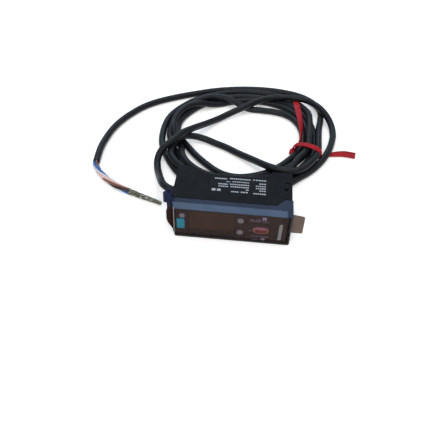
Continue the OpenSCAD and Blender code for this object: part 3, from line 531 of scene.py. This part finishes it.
def bezier(name, route, radius, slot, sides, steps):
    """A round cord through the given points, in millimetres from the case's corner."""
    data = bpy.data.curves.new(name, "CURVE")
    data.dimensions = "3D"
    data.bevel_depth = radius * MM
    data.bevel_resolution = sides
    data.use_fill_caps = True
    line = data.splines.new("BEZIER")
    line.bezier_points.add(len(route) - 1)
    line.resolution_u = steps
    for point, place in zip(line.bezier_points, route):
        point.co = at(*place)
        point.handle_left_type = point.handle_right_type = "AUTO"
    return finish_piece(add_object(name, data), "amplifier", slot)


def smooth_line(points, step):
    """Points along a smooth line through the given ones, about step apart."""
    p = [Vector(q) for q in points]
    p = [2 * p[0] - p[1]] + p + [2 * p[-1] - p[-2]]
    out = []
    for a, b, c, d in zip(p, p[1:], p[2:], p[3:]):
        count = max(1, round((c - b).length / step))
        for k in range(count):
            t = k / count
            out.append(0.5 * (2 * b + (c - a) * t + (2 * a - 5 * b + 4 * c - d) * t * t
                              + (3 * b - 3 * c + d - a) * t ** 3))
    out.append(p[-2])
    return out


def directions(points, i):
    """The directions to the side of a line and above it, at one of its points."""
    ahead = (points[min(i + 1, len(points) - 1)] - points[max(i - 1, 0)]).normalized()
    side = ahead.cross(Vector((0, 0, 1))).normalized()
    return side, side.cross(ahead)


def join_rings(build, rings):
    """Faces between rings of vertices, and a cap on each end."""
    count = len(rings[0])
    for a, b in zip(rings, rings[1:]):
        for k in range(count):
            build.faces.new((a[k], a[(k + 1) % count], b[(k + 1) % count], b[k]))
    build.faces.new(rings[0])
    build.faces.new(list(reversed(rings[-1])))


# ---------------------------------------------------------------- the cable and its tie
# The sheathed cable, from its bushing to the end of the sheath: first the stretch to the coil,
# then the coil's four turns with the stretches between them, and the tail
LEAD = [
    (-2, 25.4, 10.25), (-4.2, 25.9, 10.8), (-6.9, 27.6, 11), (-9, 30.6, 10.4),
    (-10.5, 34.6, 8.9), (-12, 39.2, 6.9), (-13.6, 44.4, 4.9), (-15.2, 49.7, 3.4),
    (-16.6, 54.8, 2.9),
    (-17.2, 60.5, 4.4), (-15.8, 65, 7), (-12.4, 68.6, 9.5), (-8.2, 74.5, 10.5),
    (-4.3, 81.3, 10.5), (0.9, 89.2, 8.8), (8.8, 102, 4.8), (17.3, 113.3, 2.6),
    (23.3, 118.4, 3.4), (28.9, 121.4, 5), (35.1, 125.4, 6.3), (41.4, 131.5, 6.3),
    (48.6, 136.5, 6.3), (57.9, 139.1, 6.3), (67.9, 139.8, 6.3), (75.2, 138.3, 6.3),
    (81.7, 133.6, 6.3), (87.2, 125.8, 6.3), (92, 117.5, 3.8), (93.9, 106.7, 2.1),
    (92.5, 94.3, 2.4), (88.9, 81.6, 3.2), (83.8, 71.3, 2.4), (77.4, 62.4, 2.1),
    (70.4, 55.3, 2.1)]
LANE_OUTER = [
    (63.6, 48.6, 2.1), (54, 43.4, 2.1), (45, 40.1, 2.1), (36, 38.7, 2.1), (27, 38.3, 2.1),
    (18, 39.1, 2.1), (9.5, 41.8, 2.1), (2.5, 46.1, 2.1), (-3, 51, 2.1), (-8, 58, 2.1),
    (-12.5, 66, 2.1), (-16.2, 74, 2.1), (-18.5, 83, 2.1), (-19.3, 92, 2.1), (-19.3, 100, 2.1),
    (-18.1, 109, 2.1), (-14.7, 118, 2.1), (-9.8, 126, 2.1), (-3, 134, 2.1), (8, 142, 2.1),
    (20, 147.5, 2.1), (31, 150, 2.1), (42, 150.5, 2.1), (53, 149, 2.1), (63, 145, 2.1),
    (71, 138, 2.4), (75.8, 129, 3.8), (77.6, 120, 6.1), (78, 112, 6.3), (77.8, 104, 6.2),
    (77.2, 95, 6), (76.4, 84.6, 6), (74, 76.5, 6), (70, 70.1, 5.8), (67, 64.3, 4.7),
    (62.5, 58.3, 2.9)]
LANE_UPPER = [
    (55.6, 52.6, 2.8), (49.6, 49, 4.3), (43, 46.2, 5.8), (35, 45.1, 5.9), (26, 44.9, 5.9),
    (17, 46.2, 5.9), (9.5, 49.6, 6.1), (3.6, 54.4, 6.3), (-0.8, 60.4, 6.3), (-3.3, 67.4, 5.6),
    (-4, 72, 4), (-5.2, 77.2, 2.5), (-9.4, 84.6, 2.5), (-12, 92, 5.1), (-12.9, 100, 5.8),
    (-11.8, 108.5, 5.8), (-8.6, 116, 6), (-3.2, 121.8, 6.3), (3, 125.4, 5.4), (9, 128.5, 3.2),
    (15.5, 131.6, 2.1), (22.5, 135, 2.1), (30, 137.4, 2.1), (38, 138.6, 2.1), (46, 138.3, 2.1),
    (54, 136, 2.1), (61.5, 132, 2.1), (68, 126.2, 2.1), (72.9, 119, 2.1), (75.9, 110, 2.1),
    (77.2, 101, 2.1), (77.3, 92, 2.1), (76, 83, 2.1), (72.4, 75.4, 2.1), (66.6, 67.8, 2.1)]
LANE_INNER = [
    (60.6, 61.2, 2.1), (54, 55.3, 2.1), (46.5, 50.8, 2.1), (39, 48.2, 2.1), (31, 47, 2.1),
    (24, 47.1, 2.1), (17, 48.2, 2.1), (10, 51.2, 2.1), (4.2, 55.2, 2.1), (-1.4, 61, 2.1),
    (-6.4, 69, 2.1), (-10.7, 78, 2.1), (-13.9, 88, 2.1), (-14.9, 97, 2.1), (-13.9, 108, 2.1),
    (-10, 118.4, 2.2), (-3.8, 126.6, 3.4), (4.4, 132, 6), (12.5, 134.2, 6.3), (20, 133, 6.3),
    (27.5, 130.2, 4.8), (36, 128, 2.1), (45, 127.2, 2.1), (54.6, 126.2, 2.1), (63.4, 122.6, 2.1),
    (69.7, 115, 2.1), (72.8, 105.5, 2.1), (73.4, 96, 2.1), (72.1, 86.5, 2.1), (68.2, 78, 2.1),
    (63.8, 71.4, 2.1), (59, 65.2, 2.1), (50.6, 57.6, 2.1), (42, 53.2, 2.1)]
LOWER = [
    (33, 51.2, 2.1), (26, 52.2, 2.1), (19.8, 55.4, 2.1), (12.8, 61.6, 2.1), (5.8, 69.1, 2.1),
    (-0.4, 77.3, 2.1), (-5.3, 84.5, 2.1)]
LANE_MIDDLE = [
    (-8.8, 92, 2.1), (-10.3, 100, 2.1), (-9.1, 109, 2.1), (-5.2, 117.6, 2.1),
    (0.4, 125.8, 2.1), (7.8, 133, 2.1), (17, 139.2, 2.1), (27.6, 142.8, 2.1), (38, 143.6, 2.1),
    (48, 142.6, 2.1), (58, 139.4, 2.1), (66.2, 133.8, 2.1), (73.5, 125.6, 2.1),
    (78.6, 115, 2.1), (80.8, 103, 2.1), (81, 92, 2.1), (80.2, 82, 2.1), (76.6, 72.8, 2.1),
    (70.8, 63.2, 2.1), (64.4, 54.9, 2.1), (55.4, 48.6, 2.1), (45.5, 44.5, 2.1), (36, 42.9, 2.1),
    (27, 42.5, 2.1), (18, 43.4, 2.1)]
DIAGONAL = [
    (10.5, 46.3, 2.6), (4.6, 49, 4.4), (-1.3, 52.6, 6.1), (-6.2, 57.7, 6.3), (-9.4, 63.7, 6.3),
    (-9.8, 70.6, 6.2), (-7.9, 77.8, 6.3), (-4.3, 83.2, 6.2), (0.4, 86.2, 4.9), (7.3, 87.1, 3.2),
    (16.9, 83.8, 2.1), (23.3, 80.6, 2.1), (32.1, 74.7, 2.3), (41.3, 67.6, 3.8),
    (50.1, 59.9, 5.9), (55.8, 57.2, 6.3), (61, 55.8, 6.3), (65.5, 55.9, 6.3), (70.5, 58, 6.3),
    (75.7, 63.6, 6.3), (80.1, 71.6, 5.8)]
TAIL = [
    (82.6, 80.9, 5.1), (83.2, 89.5, 5), (83.6, 97, 4.8), (84.4, 106.9, 3.8), (86, 118, 2.4),
    (86.6, 130, 2.1), (84.4, 137.4, 2.1), (79.2, 144.6, 2.1), (72, 149.8, 2.1),
    (61.8, 153.3, 2.1), (51, 154.9, 2.1), (41, 155, 2.1), (30.2, 154, 2.1), (19.2, 151.8, 2.1),
    (8.3, 148.4, 2.1), (-2.6, 143.6, 2.1), (-12.4, 138.9, 2.1), (-21.4, 133.9, 2.1),
    (-30.2, 128, 2.1), (-38, 120.7, 2.1), (-43.9, 112.4, 2.1), (-48.8, 103.5, 2.1),
    (-52.8, 92.8, 2.1), (-54.9, 82, 2.1), (-55.9, 71, 2.1), (-55.6, 62.5, 2.1), (-55, 55, 2.1)]
CORD_R = 2.2

# The five cores and their tinned strands, twisted round one line each
CORE_LINE = [(-55, 55, 2.1), (-54.6, 52, 2.1), (-50.4, 45.7, 1.9), (-43.6, 39.3, 1.8),
             (-36, 33.9, 1.8), (-28.8, 30.7, 1.7)]
TIP_LINE = [(-28.8, 30.7, 1.7), (-22.6, 28.2, 1.6), (-16, 25.8, 1.5), (-9, 23.4, 1.2)]
CORES = ("core_black", "core_brown", "core_blue", "core_white", "core_pink")
CORE_SHIFT = (40, -102, 0, 0, -25)      # degrees that each core moves round the others
CORE_R, CORE_RING_R, CORE_TURNS = 0.72, 1.22, 0.78
TIP_WIDE_R, TIP_THIN_R, TIP_RING_R, TIP_TURNS = 0.74, 0.5, 1.15, 0.9
TIP_START = 18              # degrees
TIP_CLOSED = 0.6            # the share of the ring's radius that is left at the tip
SHIFT_FROM, SHIFT_OVER = 0.22, 0.26     # where the cores shift, as shares of their length
STRAND_ANGLE = 72           # degrees between two of five strands
STRAND_STEP = 1.5           # mm
STRAND_SIDES = 10


def twisted(line, k, radius, turns, start=0.0, end_share=1.0, shift=0.0):
    """One strand of five round a line, as points. The radius shrinks to end_share of itself,
    and shift moves the strand round the others part of the way along."""
    points = smooth_line(line, STRAND_STEP)
    out = []
    last = len(points) - 1
    for i, p in enumerate(points):
        side, up = directions(points, i)
        t = i / last
        late = min(max((t - SHIFT_FROM) / SHIFT_OVER, 0), 1)
        turn = math.radians(STRAND_ANGLE * k + start + shift * late) - turns * 2 * math.pi * t
        r = radius * (1.0 + (end_share - 1.0) * t)
        out.append(p + r * (math.cos(turn) * -side + math.sin(turn) * up))
    return out


def tapered(name, routes, wide, thin, slot):
    """Round strands along the given points, from the radius wide to the radius thin."""
    build = bmesh.new()
    for route in routes:
        rings = []
        for i, middle in enumerate(route):
            side, up = directions(route, i)
            r = wide + (thin - wide) * i / (len(route) - 1)
            turns = [2 * math.pi * k / STRAND_SIDES for k in range(STRAND_SIDES)]
            rings.append([build.verts.new(at(*(middle + r * (math.cos(turn) * side
                                                             + math.sin(turn) * up))))
                          for turn in turns])
        join_rings(build, rings)
    bmesh.ops.recalc_face_normals(build, faces=build.faces)
    return from_bmesh(name, build, "amplifier", slot, sharp=TUBE_SHARP_ANGLE)


def build_cable():
    cable = bezier("cable", LEAD + LANE_OUTER + LANE_UPPER + LANE_INNER + LOWER + LANE_MIDDLE
                   + DIAGONAL + TAIL, CORD_R, "cable_sheath", sides=5, steps=5)
    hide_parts("cable_exit", "cable_coil", "cable_high_turn", "cable_far_turn",
                "cable_rise", "cable_diagonal", "cable_lower_run", "cable_outer_loop",
                "cable_tail")
    ends = []
    for k, name in enumerate(CORES):
        line = twisted(CORE_LINE, k, CORE_RING_R, CORE_TURNS, shift=CORE_SHIFT[k])
        core = bezier(name + "_lead", line, CORE_R, name, sides=3, steps=3)
        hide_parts(name)
        ends.append(core)
    strands = [twisted(TIP_LINE, k, TIP_RING_R, TIP_TURNS, TIP_START, TIP_CLOSED)
               for k in range(len(CORES))]
    tips = tapered("tinned_strands", strands, TIP_WIDE_R, TIP_THIN_R, "tinned_wire")
    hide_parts("tinned_ends")
    ends.append(tips)
    return cable, ends


# The tie's stretches as stations, which ribbon() explains; the hoop's are made from its line
STRIP = [
    ((69.2, 137, 4.9), (1, 0.25, 0), (0, 0, 1), 4.4, 0.9),
    ((70, 131, 4.9), (1, 0.2, 0), (0, 0, 1), 4.5, 0.9),
    ((71, 123, 4.85), (1, 0.15, 0), (0, 0, 1), 4.4, 0.9),
    ((71.9, 113, 4.85), (1, 0.05, -0.1), (0.1, 0, 1), 3.8, 0.9),
    ((72.2, 103, 4.9), (1, 0, -0.4), (0.4, 0, 1), 3.0, 0.9),
    ((71.9, 94, 4.8), (0.7, 0, -1), (1, 0, 0.7), 2.6, 0.9),
    ((70.6, 87, 4.4), (0.4, 0, -1), (1, 0, 0.4), 2.6, 0.9),
    ((68, 82.6, 3), (0.2, 0.3, -1), (1, 0.2, 0.2), 2.8, 0.9)]
FOLD = [
    ((64.6, 81.6, 1.7), (0.2, 1, 0.6), (0, -0.6, 1), 3.4, 1.8),
    ((65.8, 81.8, 2), (0.2, 1, 0.6), (0, -0.6, 1), 4.4, 2.2),
    ((67.8, 82.2, 2.4), (0.1, 1, 0.4), (0, -0.4, 1), 4, 1.8)]
LOOSE_END = [
    ((83.6, 79.6, 0.45), (0, 1, 0), (0, 0, 1), 3.2, 0.8),
    ((89, 82.4, 0.45), (-0.1, 1, 0.02), (0, 0, 1), 3.4, 0.8),
    ((94, 83.4, 1.1), (-0.1, 1, 0.35), (0, -0.35, 1), 4.0, 0.8),
    ((100, 83.9, 1.5), (0.02, 1, 0.5), (0, -0.5, 1), 4.4, 0.8),
    ((107, 82.9, 1.5), (0.15, 1, 0.5), (0, -0.5, 1), 4.4, 0.8)]
# The hoop's line in its upright plane: how far from the coil's centre, and how high
HOOP_LINE = [(38.2, 0.1), (38.5, 4.2), (40.8, 7.3), (44.8, 8.8), (49, 9), (53.5, 8.2),
             (56.2, 6.9), (57, 4.6), (57, 0.1)]
HOOP_NARROW, HOOP_WIDE, HOOP_THICK = 3.2, 4.2, 0.9
HOOP_WIDE_FROM = 6          # height from which the hoop is wide
TIE_ANGLE = math.radians(-17.5)
COIL_CENTRE = Vector((30, 94.5, 0))
RIBBON_SIDES = 12
RIBBON_STEP = 1.0           # mm
EDGE_POWER, FACE_POWER = 0.45, 0.7      # how square the ribbon's section is


def ribbon(name, stations):
    """A flat strap with rounded edges. A station is its middle, its width's direction, its
    thickness's direction, its width and its thickness."""
    middles = smooth_line([station[0] for station in stations], RIBBON_STEP)
    build = bmesh.new()
    rings = []
    for i, middle in enumerate(middles):
        share = i / (len(middles) - 1) * (len(stations) - 1)
        j = min(int(share), len(stations) - 2)
        t = share - j
        a, b = stations[j], stations[j + 1]
        wide = (Vector(a[1]) * (1 - t) + Vector(b[1]) * t).normalized()
        flat = (Vector(a[2]) * (1 - t) + Vector(b[2]) * t)
        flat = (flat - flat.dot(wide) * wide).normalized()
        width = a[3] * (1 - t) + b[3] * t
        thick = a[4] * (1 - t) + b[4] * t
        ring = []
        for k in range(RIBBON_SIDES):
            turn = 2 * math.pi * (k + 0.5) / RIBBON_SIDES
            x = math.copysign(abs(math.cos(turn)) ** EDGE_POWER, math.cos(turn)) * width / 2
            y = math.copysign(abs(math.sin(turn)) ** FACE_POWER, math.sin(turn)) * thick / 2
            ring.append(build.verts.new(at(*(middle + wide * x + flat * y))))
        rings.append(ring)
    join_rings(build, rings)
    bmesh.ops.recalc_face_normals(build, faces=build.faces)
    return from_bmesh(name, build, "amplifier", "tie_red", sharp=TUBE_SHARP_ANGLE)


def hoop_stations():
    along = Vector((math.cos(TIE_ANGLE), math.sin(TIE_ANGLE), 0))
    across = Vector((-along.y, along.x, 0))
    stations = []
    for i, (far, high) in enumerate(HOOP_LINE):
        a, b = HOOP_LINE[max(i - 1, 0)], HOOP_LINE[min(i + 1, len(HOOP_LINE) - 1)]
        thick = across.cross(-((b[0] - a[0]) * along + Vector((0, 0, b[1] - a[1]))))
        width = HOOP_NARROW if high < HOOP_WIDE_FROM else HOOP_WIDE
        stations.append((COIL_CENTRE + far * along + Vector((0, 0, high)), across, thick,
                         width, HOOP_THICK))
    return stations


def build_tie():
    """The red tie: a strip along the inner turns, a hoop over the bundle, the fold that closes it
    and a loose end on the table."""
    strip = ribbon("tie_strip", STRIP)
    fold = ribbon("tie_fold", FOLD)
    hoop = ribbon("tie_hoop", hoop_stations())
    loose = ribbon("tie_loose_end", LOOSE_END)
    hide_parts("cable_tie")
    return [hoop, strip, fold, loose]


cable, ends = build_cable()
tie = build_tie()

# ---------------------------------------------------------------- the rigid pieces
# Each CAD node, the piece that shows it, its body and its slot, how wide its edges are rounded
# in millimetres, and in how many segments where that isn't two
FIXED = (
    ("main_case", "case_shell", "amplifier", "case_plastic", 0.22),
    ("front_panel", "panel_frame", "amplifier", "panel_plastic", 0.12),
    ("display_window", "window_pane", "amplifier", "smoked_window", 0.15),
    ("indicator_lens", "lens_pill", "amplifier", "lens_orange", 0.22, 3),
    ("optical_block", "optics_block", "amplifier", "block_plastic", 0.12),
    ("cable_bushing", "exit_bushing", "amplifier", "cable_sheath", 0.2),
)
MOVING = (
    ("set_button", "set_key_cap", "set_key", "key_teal", 0.25, 3),
    ("preset_button", "preset_key_cap", "preset_key", "key_grey", 0.25, 3),
    ("up_button", "up_key_cap", "up_key", "key_grey", 0.28, 3),
    ("down_button", "down_key_cap", "down_key", "key_grey", 0.28, 3),
    ("fibre_lever", "lever_arm", "lever", "case_plastic", 0.18),
)
for row in FIXED:
    dress(*row)
dress_cover()
for row in MOVING:
    dress(*row)

# The nodes that keep their CAD mesh, and their paints
for node, slot in (
    ("digit_display", "display_plastic"), ("display_board", "circuit_board"),
    ("key_switches", "switch_metal"), ("indicator_leds", "led_white"),
    ("main_board", "circuit_board"), ("board_header", "connector_plastic"),
    ("controller_chip", "chip_plastic"), ("power_capacitors", "capacitor_can"),
    ("output_transistors", "chip_plastic"), ("emitter_led", "emitter_red"),
    ("receiver_diode", "receiver_dark"), ("inner_lead", "cable_sheath"),
    ("inner_cores", "core_brown"), ("rating_label", "label_print"),
):
    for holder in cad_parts[node].material_slots:
        holder.material = PAINTS[slot]


# ---------------------------------------------------------------- print
BAR_HEIGHT = 0.03
GAP_LEFT, GAP_RIGHT = 0.1, 0.12         # shares of the pitch between the bars of a row
LABEL_Z = 20.5 - 0.05
PANEL_Y = 1.2


def bars(name, rows, flat, level, slot, paint):
    """Plain bars that stand for print. A row is x0, x1, y0, y1 and how many bars it is cut into;
    flat is "top" for the case's upper side and "front" for the panel."""
    def lay(u, v, height):
        return at(u, v, level + height) if flat == "top" else at(u, level - height, v)

    build = bmesh.new()
    for x0, x1, y0, y1, count in rows:
        pitch = (x1 - x0) / count
        for k in range(count):
            left = x0 + k * pitch + (0.0 if count == 1 else pitch * GAP_LEFT)
            right = x0 + (k + 1) * pitch - (0.0 if count == 1 else pitch * GAP_RIGHT)
            corners = [(left, y0), (right, y0), (right, y1), (left, y1)]
            low, high = ([build.verts.new(lay(u, v, height)) for u, v in corners]
                         for height in (0.0, BAR_HEIGHT))
            build.faces.new(low)
            build.faces.new(high)
            for i in range(4):
                build.faces.new((low[i], low[(i + 1) % 4], high[(i + 1) % 4], high[i]))
    bmesh.ops.recalc_face_normals(build, faces=build.faces)
    return from_bmesh(name, build, "amplifier", slot, paint)


bars("label_rows", [
    (21.4, 28.2, 26.3, 27.3, 7), (29.6, 41.2, 26.9, 27.9, 11),
    (27.7, 30.2, 24.3, 24.9, 2), (31.2, 40.5, 24.5, 25.3, 8),
    (23.6, 28.9, 21.9, 22.8, 5), (29.9, 40.6, 22.2, 23.1, 9),
    (23.8, 29.4, 20.0, 20.9, 5), (30.4, 40.5, 20.2, 21.1, 9),
    (38.9, 40.4, 18.4, 19.2, 1), (31.0, 35.2, 16.2, 17.1, 4), (36.2, 40.2, 16.3, 17.2, 3),
    (42.2, 49.8, 27.2, 28.1, 5), (45.8, 49.7, 24.3, 25.2, 3), (44.0, 49.7, 22.2, 23.1, 5),
    (44.1, 49.7, 20.3, 21.2, 5), (46.0, 49.7, 18.5, 19.3, 3), (42.9, 49.8, 16.0, 16.9, 6),
    (20.6, 22.6, 16.4, 18.2, 1), (23.4, 25.4, 16.4, 18.2, 1),
], "top", LABEL_Z, "label_print", "white_ink")
bars("panel_rows", [
    (42.2, 45.0, 15.5, 15.9, 2), (45.6, 48.0, 15.6, 16.0, 2), (42.4, 48.2, 14.5, 14.9, 5),
    (49.0, 52.6, 14.5, 14.9, 3), (42.4, 43.7, 7.4, 7.9, 2), (43.4, 47.4, 3.6, 4.0, 3),
    (48.2, 53.2, 3.7, 4.1, 4), (44.2, 47.9, 1.0, 1.35, 3), (48.8, 51.0, 15.8, 18.0, 1),
    (49.1, 51.1, 1.2, 2.8, 1),
], "front", PANEL_Y, "panel_plastic", "grey_ink")

MARK_BARS, MARK_PITCH, MARK_SLANT = 11, 1.05, 0.02
bars("panel_mark", [(57.9 + MARK_SLANT * k, 59.6 + MARK_SLANT * k,
                     2.5 + MARK_PITCH * k, 3.05 + MARK_PITCH * k, 1) for k in range(MARK_BARS)],
     "front", PANEL_Y, "panel_plastic", "mark_ink")

# The dark rim of the panel round the window's box
BOX_X0, BOX_X1, BOX_Z0, BOX_Z1 = 10.1, 34.6, 2.2, 17.6
bars("window_edges", [(BOX_X1, 35.3, BOX_Z0, BOX_Z1, 1), (9.6, BOX_X0, BOX_Z0, BOX_Z1, 1),
                      (BOX_X0, BOX_X1, BOX_Z1, 17.9, 1), (BOX_X0, BOX_X1, 1.9, BOX_Z0, 1)],
     "front", PANEL_Y, "panel_plastic", "dark_ink")


# ---------------------------------------------------------------- stage and light
FLOOR_HALF, FLOOR_Z = 4, -0.0002
FLOOR_GLOW = 0.34
SKY_COLOUR, SKY_STRENGTH = (0.95, 0.97, 1.0, 1), 0.4
# Each lamp's name, place, what it looks at, its size, its power in watts and its colour
LAMPS = (
    ("window", (-0.25, 1.1, 1.0), (0, 0.04, 0), (1.1, 0.8), 6.5, (0.56, 0.79, 1.0)),
    ("ceiling", (0.2, -0.2, 1.6), (0, 0.02, 0), (1.4, 1.4), 11, (1.0, 0.99, 0.97)),
    ("front", (-0.5, -1.3, 0.9), (0, 0, 0), (0.8, 0.8), 9, (1.0, 0.96, 0.92)),
)


def add_floor():
    """A white floor that glows only for what the camera sees, straight, through the pane or in
    a gloss, so that it is as white as the photograph's but doesn't light the object."""
    data = bpy.data.meshes.new("floor")
    data.from_pydata([(x * FLOOR_HALF, y * FLOOR_HALF, FLOOR_Z)
                      for x, y in ((-1, -1), (1, -1), (1, 1), (-1, 1))], [], [(0, 1, 2, 3)])
    floor = add_object("floor", data)
    paint = Paint("floor", rough=0.9, shine=0.1)
    paint.colour(tone(250, 250, 250))
    rays = paint.node("ShaderNodeLightPath")
    glow = paint.node("ShaderNodeEmission")
    glow.inputs["Strength"].default_value = FLOOR_GLOW
    seen = paint.maths("MAXIMUM", rays.outputs["Is Camera Ray"],
                       paint.maths("MAXIMUM", rays.outputs["Is Transmission Ray"],
                                   rays.outputs["Is Glossy Ray"]))
    adding = paint.node("ShaderNodeAddShader")
    choice = paint.node("ShaderNodeMixShader")
    paint.link(paint.skin.outputs[0], adding.inputs[0])
    paint.link(glow.outputs[0], adding.inputs[1])
    paint.link(seen, choice.inputs[0])
    paint.link(paint.skin.outputs[0], choice.inputs[1])
    paint.link(adding.outputs[0], choice.inputs[2])
    paint.link(choice.outputs[0], paint.out.inputs[0])
    data.materials.append(paint.material)


def add_world():
    """A soft bluish light from all round, which the camera sees as white."""
    world = bpy.data.worlds.new("studio")
    bpy.context.scene.world = world
    world.use_nodes = True
    nodes, links = world.node_tree.nodes, world.node_tree.links
    nodes.clear()
    out = nodes.new("ShaderNodeOutputWorld")
    soft = nodes.new("ShaderNodeBackground")
    soft.inputs["Color"].default_value = SKY_COLOUR
    soft.inputs["Strength"].default_value = SKY_STRENGTH
    white = nodes.new("ShaderNodeBackground")
    white.inputs["Color"].default_value = (1, 1, 1, 1)
    mix = nodes.new("ShaderNodeMixShader")
    rays = nodes.new("ShaderNodeLightPath")
    links.new(rays.outputs["Is Camera Ray"], mix.inputs[0])
    links.new(soft.outputs[0], mix.inputs[1])
    links.new(white.outputs[0], mix.inputs[2])
    links.new(mix.outputs[0], out.inputs[0])


def add_lamps():
    for name, place, aim, size, power, colour in LAMPS:
        lamp = bpy.data.lights.new(name, "AREA")
        lamp.shape = "RECTANGLE"
        lamp.size, lamp.size_y = size
        lamp.energy = power
        lamp.color = colour
        holder = add_object(name, lamp)
        holder.location = place
        holder.rotation_euler = (Vector(aim) - Vector(place)).to_track_quat("-Z", "Y").to_euler()


add_floor()
add_world()
add_lamps()
